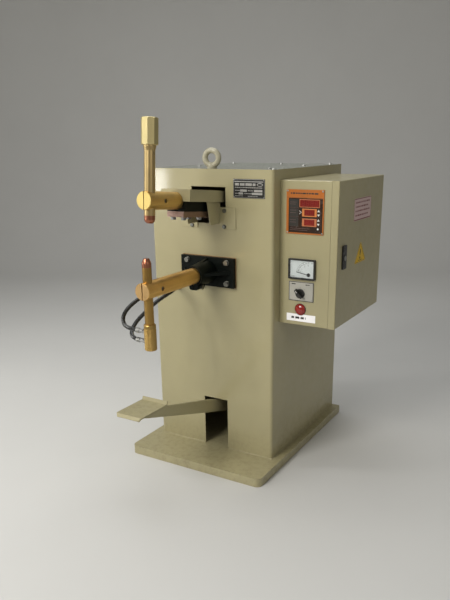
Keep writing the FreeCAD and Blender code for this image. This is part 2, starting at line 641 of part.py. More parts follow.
for s in (-68.0, 68.0):
    feet.append(cut(rounded(box(D.ped_x + s - 13, D.ped_x + s + 13, D.ped_piv_y - 30, D.ped_piv_y + 30, D.base_h, D.ped_piv_z + 24),
                            12.0, lambda a, b: abs(a.z - D.ped_piv_z.v - 24) < 1e-3 and abs(b.z - D.ped_piv_z.v - 24) < 1e-3
                            and abs(a.x - b.x) > 1),
                    cyl(D.shaft_r + 0.06, 60, D.ped_x + s - 30, D.ped_piv_y, D.ped_piv_z, "x")))
node("pedal_bearings", group(*feet))

ty, tz = lev(D.piv_y.v + D.rod_lever.v, 0)
ly = 0.5 * (ty + pin_y.v)
fork = cut(box(D.ped_x - 15, D.ped_x + 15, ly - 16, ly + 16, pin_z - 16, pin_z + 52),
           box(D.ped_x - 7, D.ped_x + 7, ly - 40, ly + 40, pin_z - 30, pin_z + 34),
           cyl(8.5, 60, D.ped_x - 30, ly, pin_z, "x"))
rod = fuse(fork, cyl(D.rod_r, tz - 14 - (num(pin_z) + 50), D.ped_x, ly, pin_z + 50),
           cyl(D.seat_r, 8, D.ped_x, ly, 422), cyl(D.seat_r, 8, D.ped_x, ly, 752), cyl(D.seat_r, 8, D.ped_x, ly, 868),
           cyl(15.0, 24, D.ped_x - 12, ty, tz, "x"))
node("link_rod", cut(rod, cyl(D.pin_r + 0.05, 60, D.ped_x - 30, ty, tz, "x")))
node("pressure_spring", cut(cyl(17.0, 108, D.ped_x, ly, 760), cyl(12.5, 120, D.ped_x, ly, 755)))
node("return_spring", cut(cyl(17.0, 130, D.ped_x, ly, 430), cyl(12.5, 140, D.ped_x, ly, 425)))
node("limit_switch", fuse(box(34, 58, 398, 428, 568, 622), box(29, 34, 408, 416, 600, 606)))

# ================================================================ control box

by0, by1, bz0, bz1 = D.box_y0, D.box_y1, D.box_z0, D.box_z1
shell = cut(rounded(box(half, D.box_out, by0, by1, bz0, bz1), 3.0,
                    lambda a, b: abs(a.y - D.box_y0.v) < 1e-3 and abs(b.y - D.box_y0.v) < 1e-3 and abs(a.x - b.x) > 1),
            box(half + D.box_t, D.box_out - D.box_t, by0 + D.box_t, by1 - D.box_t, bz0 + D.box_t, bz1 - D.box_t),
            box(D.box_out - 10, D.box_out + 10, by0 + 14, by1 - 14, bz0 + 14, bz1 - 14))
node("control_box", cut(shell, box(277, 396.5, 40, 60, 852, 962), cyl(29.0, 20, 329, 40, 733, "y"),
                        cyl(5.0, 20, 324, 40, 650, "y"), cyl(11.0, 20, 324.5, 40, 594.5, "y"),
                        cyl(30.0, 40, half - 20, 266, 778, "x")))

HINGE_Z = (640.0, 917.0)
KN = 22.0
tray = cut(rounded(box(D.door_in, D.door_out, by0, by1, bz0, bz1), 3.0,
                   lambda a, b: abs(a.x - D.door_out.v) < 1e-3 and abs(b.x - D.door_out.v) < 1e-3),
           box(D.door_in - 5, D.door_out - D.box_t, by0 + D.box_t, by1 - D.box_t, bz0 + D.box_t, bz1 - D.box_t),
           cyl(8.1, 30, D.door_out - 20, 105.5, 770, "x"))
ears = []
for z in HINGE_Z:
    ears.append(box(D.hinge_x + 1.5, D.hinge_x + 21, by1, by1 + 2.0, z, z + KN))
    ears.append(cyl(4.4, KN, D.hinge_x, D.hinge_y, z))
    ears.append(box(D.hinge_x + 1.5, D.hinge_x + 4.0, by1 + 0.5, D.hinge_y, z, z + KN))
node("control_door", cut(fuse(tray, *ears), *[cyl(2.55, KN + 4, D.hinge_x, D.hinge_y, z - 2) for z in HINGE_Z]))
leaves = []
for z in HINGE_Z:
    knuckle = fuse(cyl(4.4, KN, D.hinge_x, D.hinge_y, z - KN - 0.3), box(D.hinge_x - 4.0, D.hinge_x - 1.5, by1 + 0.5, D.hinge_y, z - KN - 0.3, z - 0.3),
                   box(D.hinge_x - 24, D.hinge_x - 1.5, by1, by1 + 2.0, z - KN - 0.3, z - 0.3))
    leaves.append(fuse(knuckle, cyl(2.5, 2 * KN + 2, D.hinge_x, D.hinge_y, z - KN - 1)))
node("door_hinges", group(*leaves))

keyplate = rounded(box(D.door_out, D.door_out + 5, 89, 122, 734, 812), 4.0,
                   lambda a, b: abs(a.x - b.x) > 1 and abs(a.y - b.y) < 1e-3)
node("latch_plate", cut(keyplate, cyl(8.1, 30, D.door_out - 10, 105.5, 770, "x")))
lock = fuse(cyl(8.0, 40, D.door_out + 7 - 40, 105.5, 770, "x"),
            box(416, 420.5, 97.5, 113.5, 718, 778))
node("door_lock", cut(lock, box(D.door_out + 4.5, D.door_out + 8, 104.5, 106.5, 765, 775)))

node("timer_bezel", cut(box(269, 400, 45.1, 48.1, 848, 989), box(277, 396.5, 40, 60, 852, 962)))
KEYS = {"key_time_up": (382.0, 923.0, 90.0), "key_time_down": (382.0, 911.0, -90.0),
        "key_heat_up": (382.0, 893.5, 90.0), "key_heat_down": (382.0, 881.5, -90.0)}


def tri(r, length, x, y, z, spin):
    p = doc.addObject("Part::Prism", fresh("triangle"))
    p.Polygon = 3
    bind(p, "Circumradius", r)
    bind(p, "Height", length)
    p.Placement = Placement(V(x, y, z), DIRS["y"].multiply(Rotation(V(0, 0, 1), -spin)))
    return p


node("timer_face", cut(box(277.3, 396.2, 46.1, 96, 852.3, 961.7),
                       *[tri(5.4, 4.0, x, 45.0, z, s) for x, z, s in KEYS.values()]))
for name, (x, z, s) in KEYS.items():
    node(name, tri(4.9, 2.4, x, 45.3, z, s))

node("meter_case", cut(fuse(rounded(box(281, 377, 39.1, 48.1, 699, 767), 3.0,
                                    lambda a, b: abs(a.y - b.y) > 1),
                            cyl(28.0, 45, 329, 48, 733, "y")),
                       box(286, 372, 30, 44.6, 704, 762)))
blade = box(-44, 0, 42.2, 42.9, -0.9, 0.9)
blade.Placement = Placement(V(353, 0, 715.1), Rotation(V(0, 1, 0), 10)).multiply(Placement(V(-44, 42.2, -0.9), Rotation()))
needle = fuse(blade, cyl(4.5, 1.6, 353, 41.9, 715.1, "y"))
node("meter_needle", needle)
node("switch_plate", cut(rounded(box(282, 372, 45.1, 48.1, 624, 690), 3.0, lambda a, b: abs(a.y - b.y) > 1),
                         cyl(4.2, 20, 324, 40, 650, "y")))
knob = fuse(cyl(16.0, 4, 324, 41, 650, "y"), cyl(4.0, 30, 324, 41.5, 650, "y"))
grip = box(-4, 4, -14, 0, -19, 17)
grip.Placement = Placement(V(324, 42, 650), Rotation(V(0, 1, 0), -45)).multiply(Placement(V(-4, -14, -17), Rotation()))
node("selector_knob", rounded(fuse(knob, grip), 1.2, lambda a, b: min(a.y, b.y) < 28.5 and max(a.y, b.y) < 28.5))
node("lamp_lens", place(turned([(0, -40), (10.5, -40), (10.5, 0), (19, 0), (19, 2.5), (17.4, 4.4), (14.5, 6.6), (10, 8.4), (5, 9.3), (0, 9.5)]),
                        324.5, 48.1, 594.5, "-y"))
fins = [box(247 + 0.2, 258, 255, 405, 566, 706)] + [box(257, 300, 258 + 16 * k, 262 + 16 * k, 566, 706) for k in range(9)] \
    + [box(300, 330, 280, 380, 580, 690), box(257, 301, 300, 360, 600, 660)]
node("thyristor_unit", fuse(*fins))

# ================================================================ services at the back

node("mains_gland", place(turned([(9, -14), (12, -14), (12, 0), (17, 0), (17, 9), (15, 11), (14, 24), (12.5, 27), (9, 27)]),
                          -170, D.cab_d, 120, "y"))
ports = []
for x in (150.0, 195.0):
    ports.append(place(turned([(4, -14), (8, -14), (8, 0), (12, 0), (12, 6), (6.5, 6), (6.5, 32), (4, 32)]), x, D.cab_d, 150, "y"))
node("water_ports", group(*ports))

# ================================================================ check and write

doc.recompute()
bad = []
for o in doc.Objects:
    if "Invalid" in o.State or "Error" in o.State:
        bad.append("%s (%s): %s" % (o.Name, o.TypeId, o.State))
for name, o in NODES.items():
    if o.Shape.isNull() or not o.Shape.isValid() or not o.Shape.Solids:
        bad.append("%s: null, invalid or no solid" % name)
if bad:
    raise SystemExit("failed objects:\n" + "\n".join(bad))
os.makedirs("parts", exist_ok=True)
for old in os.listdir("parts"):
    if old.endswith(".step"):
        os.remove(os.path.join("parts", old))
for name, o in NODES.items():
    o.Shape.exportStep(os.path.join("parts", name + ".step"))
    bb = o.Shape.BoundBox
    print("%-18s solids %2d  vol %11.0f  x %.1f..%.1f y %.1f..%.1f z %.1f..%.1f" % (
        name, len(o.Shape.Solids), o.Shape.Volume, bb.XMin, bb.XMax, bb.YMin, bb.YMax, bb.ZMin, bb.ZMax))
print(len(NODES), "nodes")
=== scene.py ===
import json
import math
import random

import bpy
import bmesh
from mathutils import Matrix, Vector

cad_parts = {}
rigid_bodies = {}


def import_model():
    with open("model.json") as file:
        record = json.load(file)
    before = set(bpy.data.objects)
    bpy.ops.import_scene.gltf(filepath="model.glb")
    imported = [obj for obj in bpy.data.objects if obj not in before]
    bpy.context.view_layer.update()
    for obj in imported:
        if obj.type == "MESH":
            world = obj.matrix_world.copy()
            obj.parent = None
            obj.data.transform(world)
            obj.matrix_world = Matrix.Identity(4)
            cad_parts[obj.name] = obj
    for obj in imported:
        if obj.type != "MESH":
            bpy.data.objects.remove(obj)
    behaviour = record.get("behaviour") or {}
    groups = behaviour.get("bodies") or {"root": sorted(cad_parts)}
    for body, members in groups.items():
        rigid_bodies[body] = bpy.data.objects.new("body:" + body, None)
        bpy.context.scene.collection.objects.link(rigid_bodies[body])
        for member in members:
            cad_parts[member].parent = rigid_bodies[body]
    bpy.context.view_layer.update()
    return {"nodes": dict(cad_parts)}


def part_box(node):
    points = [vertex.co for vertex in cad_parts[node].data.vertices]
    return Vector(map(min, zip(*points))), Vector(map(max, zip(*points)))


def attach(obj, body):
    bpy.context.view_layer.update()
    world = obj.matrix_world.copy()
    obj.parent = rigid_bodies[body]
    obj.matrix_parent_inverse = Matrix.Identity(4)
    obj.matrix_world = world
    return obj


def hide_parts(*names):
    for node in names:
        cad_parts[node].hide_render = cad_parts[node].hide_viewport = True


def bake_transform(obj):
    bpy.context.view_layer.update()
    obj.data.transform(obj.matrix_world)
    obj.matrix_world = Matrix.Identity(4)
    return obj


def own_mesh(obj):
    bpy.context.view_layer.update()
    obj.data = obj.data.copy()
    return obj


for old in list(bpy.data.objects):
    bpy.data.objects.remove(old)

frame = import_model()
NODES = frame["nodes"]
SCENE = bpy.context.scene
MM = 0.001
HOME = "cabinet"

# ---------------------------------------------------------------- camera

YAW, PITCH, ROLL = math.radians(29.682), math.radians(17.857), math.radians(-0.374)
back = Vector((math.sin(YAW) * math.cos(PITCH), -math.cos(YAW) * math.cos(PITCH), math.sin(PITCH)))
right = Vector((math.cos(YAW), math.sin(YAW), 0.0))
up = back.cross(right)
cr, sr = math.cos(ROLL), math.sin(ROLL)
right2, up2 = right * cr + up * sr, up * cr - right * sr
cam_data = bpy.data.cameras.new("camera")
cam_data.sensor_width = 36.0
cam_data.lens = 630.85 / 600.0 * 36.0
cam_data.shift_x = -20.0 / 600.0
cam_data.shift_y = 45.0 / 600.0
cam_data.clip_start = 0.05
cam_data.clip_end = 60.0
camera = bpy.data.objects.new("camera", cam_data)
SCENE.collection.objects.link(camera)
camera.matrix_world = Matrix(((right2.x, up2.x, back.x, 1.18397), (right2.y, up2.y, back.y, -1.83854),
                              (right2.z, up2.z, back.z, 1.13489), (0, 0, 0, 1)))
SCENE.camera = camera

# ---------------------------------------------------------------- material tools


class Mat:
    """A node material: a Principled shader and short calls for the nodes that feed it."""

    def __init__(self, name):
        self.m = bpy.data.materials.new(name)
        self.m.use_nodes = True
        self.nt = self.m.node_tree
        self.nt.nodes.clear()
        self.out = self.nt.nodes.new("ShaderNodeOutputMaterial")
        self.b = self.nt.nodes.new("ShaderNodeBsdfPrincipled")
        self.nt.links.new(self.b.outputs[0], self.out.inputs[0])
        self.tc = self.nt.nodes.new("ShaderNodeTexCoord")

    def set(self, **kw):
        names = {"base": "Base Color", "metal": "Metallic", "rough": "Roughness", "ior": "IOR", "alpha": "Alpha",
                 "coat": "Coat Weight", "coat_rough": "Coat Roughness", "sheen": "Sheen Weight", "spec": "Specular IOR Level",
                 "trans": "Transmission Weight", "emit": "Emission Color", "emit_s": "Emission Strength",
                 "aniso": "Anisotropic", "sub": "Subsurface Weight"}
        for k, v in kw.items():
            s = self.b.inputs[names[k]]
            if k in ("base", "emit"):
                s.default_value = (*v, 1.0)
            else:
                s.default_value = v
        return self

    def node(self, kind, **props):
        n = self.nt.nodes.new(kind)
        for k, v in props.items():
            setattr(n, k, v)
        return n

    def link(self, a, b):
        self.nt.links.new(a, b)

    def coords(self, scale=(1, 1, 1), rot=(0, 0, 0), loc=(0, 0, 0)):
        mp = self.node("ShaderNodeMapping")
        mp.inputs["Scale"].default_value = scale
        mp.inputs["Rotation"].default_value = rot
        mp.inputs["Location"].default_value = loc
        self.link(self.tc.outputs["Object"], mp.inputs["Vector"])
        return mp.outputs[0]

    def noise(self, scale, detail=2.0, rough=0.5, stretch=(1, 1, 1), distort=0.0):
        n = self.node("ShaderNodeTexNoise")
        n.inputs["Scale"].default_value = scale
        n.inputs["Detail"].default_value = detail
        n.inputs["Roughness"].default_value = rough
        n.inputs["Distortion"].default_value = distort
        self.link(self.coords(stretch), n.inputs["Vector"])
        return n.outputs["Fac"]

    def ramp(self, fac, stops):
        r = self.node("ShaderNodeValToRGB")
        el = r.color_ramp.elements
        while len(el) < len(stops):
            el.new(0.5)
        for e, (p, c) in zip(el, stops):
            e.position = p
            e.color = (*c, 1.0) if hasattr(c, "__len__") else (c, c, c, 1.0)
        self.link(fac, r.inputs["Fac"])
        return r.outputs["Color"]

    def mix(self, fac, a, b, blend="MIX"):
        n = self.node("ShaderNodeMix", data_type="RGBA", blend_type=blend)
        if hasattr(fac, "is_linked"):
            self.link(fac, n.inputs[0])
        else:
            n.inputs[0].default_value = fac
        for v, s in ((a, n.inputs[6]), (b, n.inputs[7])):
            if hasattr(v, "is_linked"):
                self.link(v, s)
            else:
                s.default_value = (*v, 1.0)
        return n.outputs[2]

    def math(self, op, a, b=0.0, clamp=False):
        n = self.node("ShaderNodeMath", operation=op, use_clamp=clamp)
        for v, s in ((a, n.inputs[0]), (b, n.inputs[1])):
            if hasattr(v, "is_linked"):
                self.link(v, s)
            else:
                s.default_value = v
        return n.outputs[0]

    def span(self, v, a, b, c, d):
        n = self.node("ShaderNodeMapRange")
        self.link(v, n.inputs[0])
        for i, x in zip((1, 2, 3, 4), (a, b, c, d)):
            n.inputs[i].default_value = x
        return n.outputs[0]

    def xyz(self, what="Object"):
        n = self.node("ShaderNodeSeparateXYZ")
        self.link(self.tc.outputs[what], n.inputs[0])
        return n.outputs

    def round_edges(self, radius=0.0011):
        n = self.node("ShaderNodeBevel", samples=4)
        n.inputs["Radius"].default_value = radius
        return n.outputs[0]

    def edge(self, radius=0.004):
        """1 on sharp outside edges, fading inward."""
        n = self.node("ShaderNodeBevel", samples=4)
        n.inputs["Radius"].default_value = radius
        g = self.node("ShaderNodeNewGeometry")
        d = self.node("ShaderNodeVectorMath", operation="DOT_PRODUCT")
        self.link(n.outputs[0], d.inputs[0])
        self.link(g.outputs["Normal"], d.inputs[1])
        return self.span(d.outputs["Value"], 0.995, 0.80, 0.0, 1.0)

    def bump(self, *layers, normal=None):
        """layers: (height, strength, distance)."""
        last = normal
        for h, s, d in layers:
            n = self.node("ShaderNodeBump")
            n.inputs["Strength"].default_value = s
            n.inputs["Distance"].default_value = d
            self.link(h, n.inputs["Height"])
            if last is not None:
                self.link(last, n.inputs["Normal"])
            last = n.outputs[0]
        self.link(last, self.b.inputs["Normal"])


def paint(name, col, rough=0.34, dirt=0.5, wear=0.55, coat=0.32, metal_show=(0.20, 0.19, 0.17)):
    m = Mat(name).set(coat=coat, coat_rough=0.07, ior=1.5, spec=0.10 if max(col) < 0.02 else 0.5)
    lo = tuple(c * 0.90 for c in col)
    hi = tuple(min(1, c * 1.06) for c in col)
    base = m.mix(m.ramp(m.noise(2.6, 4, 0.55), [(0.3, 0.0), (0.7, 1.0)]), lo, hi)
    blot = m.ramp(m.noise(19, 6, 0.62), [(0.42, 1.0), (0.75, 0.0)])
    base = m.mix(m.math("MULTIPLY", blot, 0.10), base, tuple(c * 0.78 for c in col))
    # grime settles low down and on top-facing ledges
    o = m.xyz("Object")
    n = m.xyz("Normal")
    low = m.span(o[2], 0.16, 0.0, 0.0, 1.0)
    flat = m.span(n[2], 0.80, 1.0, 0.0, 1.0)
    rough_noise = m.ramp(m.noise(55, 8, 0.68), [(0.46, 0.0), (0.72, 1.0)])
    grime = m.math("MULTIPLY", m.math("MAXIMUM", low, m.math("MULTIPLY", flat, 0.45)), rough_noise)
    base = m.mix(m.math("MULTIPLY", grime, dirt), base, (0.16, 0.13, 0.085))
    # scuffs: thin and long, few
    sc = m.ramp(m.noise(26, 5, 0.5, (1, 1, 7), 1.2), [(0.70, 0.0), (0.74, 1.0)])
    base = m.mix(m.math("MULTIPLY", sc, 0.16), base, tuple(c * 0.55 for c in col))
    # rubbed edges
    e = m.edge(0.0032)
    chip = m.ramp(m.noise(240, 5, 0.7), [(0.50, 0.0), (0.62, 1.0)])
    patch = m.ramp(m.noise(9, 3, 0.6), [(0.45, 0.0), (0.65, 1.0)])
    worn = m.math("MULTIPLY", m.math("MULTIPLY", e, chip), m.math("MULTIPLY", patch, wear))
    base = m.mix(worn, base, metal_show)
    m.link(base, m.b.inputs["Base Color"])
    r = m.span(m.noise(38, 5, 0.6), 0.3, 0.75, rough - 0.07, rough + 0.10)
    m.link(m.math("ADD", r, m.math("MULTIPLY", grime, 0.25)), m.b.inputs["Roughness"])
    m.bump((m.noise(330, 2, 0.5), 0.10, 0.0006), (m.noise(7, 2, 0.5), 0.06, 0.004), normal=m.round_edges(0.0013))
    return m.m


def brass(name, dark, mid, bright, rough=0.26, axis="z", face=True, tarnish=0.75):
    """Machined brass: tool lines round the bar, handled and darkened in patches; faces square to the axis are brighter,
    partly a cleaner machined finish and partly a painted highlight where those faces meet the light.
    """
    m = Mat(name).set(metal=1.0)
    t = m.ramp(m.noise(16, 7, 0.62), [(0.32, 0.0), (0.70, 1.0)])
    col = m.mix(m.math("MULTIPLY", t, tarnish), mid, dark)
    st = (1, 1, 1)
    lines = {"z": (6, 6, 900), "y": (6, 900, 6), "x": (900, 6, 6)}[axis]
    drawn = {"z": (300, 300, 5), "y": (300, 5, 300), "x": (5, 300, 300)}[axis]
    ln = m.noise(1.0, 2, 0.5, lines)
    dr = m.noise(1.0, 3, 0.5, drawn)
    col = m.mix(m.span(dr, 0.35, 0.65, 0.0, 0.32), col, tuple(min(1, c * 1.18) for c in mid))
    spots = m.ramp(m.noise(150, 5, 0.6), [(0.66, 0.0), (0.76, 1.0)])
    col = m.mix(m.math("MULTIPLY", spots, 0.14), col, tuple(c * 0.5 for c in dark))
    if face:
        # faces square to the axis are brightened: partly a cleaner machined finish, partly a painted highlight where
        # those faces meet the light
        n = m.xyz("Normal")
        k = {"x": 0, "y": 1, "z": 2}[axis]
        axis_face_finish_and_highlight = m.span(m.math("ABSOLUTE", n[k]), 0.80, 0.97, 0.0, 1.0)
        col = m.mix(m.math("MULTIPLY", axis_face_finish_and_highlight, 0.88), col, bright)
    e = m.edge(0.0016)
    col = m.mix(m.math("MULTIPLY", e, 0.7), col, bright)
    m.link(col, m.b.inputs["Base Color"])
    r = m.span(m.noise(30, 3, 0.5), 0.3, 0.75, rough - 0.03, rough + 0.08)
    m.link(r, m.b.inputs["Roughness"])
    m.bump((ln, 0.03, 0.00012), (dr, 0.006, 0.0001), (m.noise(700, 2, 0.5), 0.012, 0.0001), normal=m.round_edges(0.0006))
    return m.m


def metal(name, col, rough=0.32, var=0.1, spots=0.3, streak=(1, 1, 1), bumpy=0.08, edge_r=0.0006, rust=0.0):
    m = Mat(name).set(metal=1.0)
    a = m.mix(m.ramp(m.noise(24, 6, 0.6), [(0.3, 0.0), (0.7, 1.0)]), tuple(c * (1 - 2 * var) for c in col), col)
    s = m.ramp(m.noise(160, 5, 0.65), [(0.56, 0.0), (0.68, 1.0)])
    a = m.mix(m.math("MULTIPLY", s, spots), a, tuple(c * 0.35 for c in col))
    if rust:
        q = m.ramp(m.noise(40, 8, 0.7), [(0.58, 0.0), (0.66, 1.0)])
        a = m.mix(m.math("MULTIPLY", q, rust), a, (0.17, 0.07, 0.03))
    m.link(a, m.b.inputs["Base Color"])
    st = m.noise(60, 4, 0.6, streak)
    m.link(m.span(st, 0.3, 0.7, rough - 0.08, rough + 0.14), m.b.inputs["Roughness"])
    m.bump((st, bumpy, 0.0005), (m.noise(420, 3, 0.6), 0.05, 0.0003), normal=m.round_edges(edge_r))
    return m.m


def plastic(name, col, rough=0.38, var=0.08, grain=420, grain_s=0.08, coat=0.0, dust=0.10, edge_r=0.0005, dust_col=(0.35, 0.33, 0.28)):
    m = Mat(name).set(ior=1.48, coat=coat, coat_rough=0.12)
    a = m.mix(m.ramp(m.noise(14, 4, 0.6), [(0.3, 0.0), (0.7, 1.0)]), tuple(c * (1 - 2 * var) for c in col), tuple(min(1, c * (1 + var)) for c in col))
    d = m.ramp(m.noise(90, 7, 0.7), [(0.52, 0.0), (0.74, 1.0)])
    a = m.mix(m.math("MULTIPLY", d, dust), a, dust_col)
    e = m.edge(0.0012)
    a = m.mix(m.math("MULTIPLY", e, 0.22), a, tuple(min(1, c * 1.7 + 0.03) for c in col))
    m.link(a, m.b.inputs["Base Color"])
    m.link(m.span(m.noise(45, 5, 0.6), 0.3, 0.7, rough - 0.07, rough + 0.10), m.b.inputs["Roughness"])
    m.bump((m.noise(grain, 2, 0.5), grain_s, 0.0003), normal=m.round_edges(edge_r))
    return m.m


CREAM = (0.385, 0.345, 0.193)
M = {
    "paint": paint("paint_cream", CREAM, 0.36, 0.45, 0.45),
    "paint_base": paint("paint_cream_base", tuple(c * 1.0 for c in CREAM), 0.42, 0.42, 0.7),
    "paint_pedal": paint("paint_cream_pedal", tuple(c * 1.0 for c in CREAM), 0.40, 0.7, 0.95),
    # the top cover wears the same cream paint as the cabinet; its grey-blue colour is a painted reflection on the top
    # face
    "paint_lid": paint("paint_grey_lid", (0.21, 0.225, 0.185), 0.30, 0.22, 0.4),
    "paint_eye": paint("paint_cream_eye", (0.40, 0.375, 0.265), 0.36, 0.5, 0.8),
    "black": paint("paint_black", (0.0040, 0.0060, 0.0045), 0.40, 0.03, 0.6, 0.03, (0.08, 0.08, 0.07)),
    "brass_up": brass("brass_upper_arm", (0.48, 0.29, 0.085), (0.74, 0.50, 0.165), (0.78, 0.62, 0.23), 0.44, "y", tarnish=0.5),
    "brass_lo": brass("brass_lower_arm", (0.50, 0.28, 0.085), (0.76, 0.48, 0.165), (0.68, 0.44, 0.20), 0.36, "y", tarnish=0.5),
    "brass_rod": brass("brass_rods", (0.36, 0.25, 0.10), (0.56, 0.42, 0.20), (0.70, 0.54, 0.26), 0.30, "z", tarnish=0.35),
    "brass_rod_lo": brass("brass_rod_lower", (0.27, 0.15, 0.04), (0.43, 0.265, 0.08), (0.60, 0.40, 0.14), 0.31, "z", tarnish=0.45),
    "brass_cap": brass("brass_hex", (0.46, 0.38, 0.17), (0.62, 0.53, 0.27), (0.72, 0.64, 0.38), 0.42, "z", tarnish=0.3),
    "brass_knurl": brass("brass_knurled", (0.30, 0.185, 0.05), (0.47, 0.32, 0.11), (0.55, 0.36, 0.12), 0.38, "z", tarnish=0.7),
    "brass_port": brass("brass_ports", (0.36, 0.23, 0.07), (0.62, 0.45, 0.17), (0.78, 0.6, 0.27), 0.28, "y"),
    "copper": brass("copper_tips", (0.15, 0.05, 0.03), (0.42, 0.17, 0.10), (0.55, 0.25, 0.15), 0.30, "z", face=False, tarnish=0.8),
    "bus": brass("copper_bus", (0.36, 0.15, 0.07), (0.66, 0.31, 0.18), (0.75, 0.38, 0.24), 0.30, "y", face=False),
    "foil": brass("copper_foil", (0.24, 0.14, 0.105), (0.42, 0.30, 0.25), (0.55, 0.38, 0.32), 0.42, "x", face=False, tarnish=0.7),
    "zinc": metal("zinc_screws", (0.50, 0.50, 0.47), 0.34, 0.10, 0.45),
    "bolt": metal("bolts_zinc", (0.25, 0.25, 0.22), 0.36, 0.12, 0.5),
    "steel": metal("steel_turned", (0.48, 0.48, 0.47), 0.26, 0.08, 0.25, (1, 1, 1)),
    "steel_dark": metal("steel_bolts", (0.30, 0.30, 0.29), 0.34, 0.10, 0.4, rust=0.25),
    "spring": metal("spring_steel", (0.22, 0.22, 0.225), 0.30, 0.12, 0.3, rust=0.2),
    "iron": metal("cast_iron", (0.13, 0.13, 0.13), 0.55, 0.15, 0.4, bumpy=0.3, edge_r=0.001, rust=0.3),
    "alu": metal("aluminium", (0.66, 0.67, 0.68), 0.36, 0.05, 0.15, (1, 1, 40)),
    "lid_steel": metal("nameplate_metal", (0.62, 0.62, 0.60), 0.34, 0.05, 0.15, (40, 1, 1)),
    "core": metal("core_laminations", (0.16, 0.165, 0.18), 0.45, 0.12, 0.4, (1, 900 / 60, 1), 0.5, rust=0.25),
    "coil": plastic("coil_tape", (0.22, 0.055, 0.02), 0.42, 0.2, 260, 0.2, 0.3),
    "laminate": plastic("insulating_board", (0.30, 0.18, 0.075), 0.5, 0.15),
    "rubber": plastic("rubber_black", (0.014, 0.014, 0.013), 0.46, 0.1, 500, 0.15, dust=0.08),
    "hose": plastic("hose_black", (0.012, 0.013, 0.012), 0.26, 0.1, 300, 0.05, coat=0.35, dust=0.05),
    "plastic": plastic("plastic_black", (0.014, 0.014, 0.013), 0.30, 0.1, coat=0.1, dust=0.05),
    "grey": plastic("panel_grey", (0.43, 0.42, 0.37), 0.40, 0.05),
    "orange": plastic("timer_orange", (0.47, 0.135, 0.012), 0.40, 0.06, coat=0.03, dust=0.02),
    "orange_line": plastic("timer_frame_orange", (0.62, 0.21, 0.05), 0.36, 0.05, dust=0.03),
    "pink_line": plastic("timer_frame_pale", (0.52, 0.17, 0.065), 0.36, 0.05, dust=0.03),
    "dim": plastic("timer_print_dim", (0.13, 0.075, 0.065), 0.45, 0.05, dust=0.03),
    "face": plastic("timer_dark", (0.036, 0.018, 0.010), 0.22, 0.15, coat=0.3, dust=0.05),
    "window": plastic("display_window", (0.21, 0.014, 0.009), 0.14, 0.12, 200, 0.02, coat=0.6, dust=0.02),
    "segment": plastic("display_segments", (0.27, 0.026, 0.017), 0.2, 0.05, dust=0.0),
    "white": plastic("white_print", (0.80, 0.79, 0.75), 0.45, 0.03, dust=0.05),
    "label": plastic("label_white", (0.97, 0.96, 0.97), 0.42, 0.0, dust=0.0),
    "pinkish": plastic("label_pale_pink", (0.60, 0.44, 0.42), 0.45, 0.03, dust=0.05),
    "red_print": plastic("red_print", (0.20, 0.045, 0.045), 0.45, 0.06, dust=0.05),
    "yellow": plastic("label_yellow", (0.80, 0.50, 0.008), 0.40, 0.05, dust=0.05),
    "black_print": plastic("black_print", (0.022, 0.021, 0.018), 0.42, 0.05, dust=0.05),
    "panel_dark": plastic("timer_panels", (0.022, 0.018, 0.012), 0.5, 0.05, dust=0.02),
    "plate_black": plastic("plate_black", (0.016, 0.016, 0.015), 0.34, 0.05, dust=0.08),
    "dial": plastic("dial_plate", (0.66, 0.71, 0.71), 0.5, 0.02, dust=0.02),
    "board": plastic("board_green", (0.03, 0.13, 0.06), 0.4, 0.1),
}
lens = Mat("lamp_red").set(base=(0.34, 0.014, 0.008), rough=0.14, ior=1.5, coat=0.5, coat_rough=0.05, trans=0.25)
lens.bump((lens.node("ShaderNodeTexVoronoi").outputs["Distance"], 0.0, 0.0001), normal=lens.round_edges(0.0006))
lr = lens.ramp(lens.noise(60, 4, 0.5), [(0.3, (0.27, 0.010, 0.006)), (0.7, (0.40, 0.020, 0.010))])
lens.link(lr, lens.b.inputs["Base Color"])
lens.link(lens.span(lens.noise(90, 4, 0.5), 0.3, 0.7, 0.10, 0.20), lens.b.inputs["Roughness"])
M["lens"] = lens.m
glass = Mat("meter_glass").set(base=(0.95, 0.97, 0.96), rough=0.04, ior=1.45, trans=1.0, alpha=0.22)
glass.link(glass.span(glass.noise(60, 5, 0.6), 0.35, 0.8, 0.02, 0.16), glass.b.inputs["Roughness"])
M["glass"] = glass.m

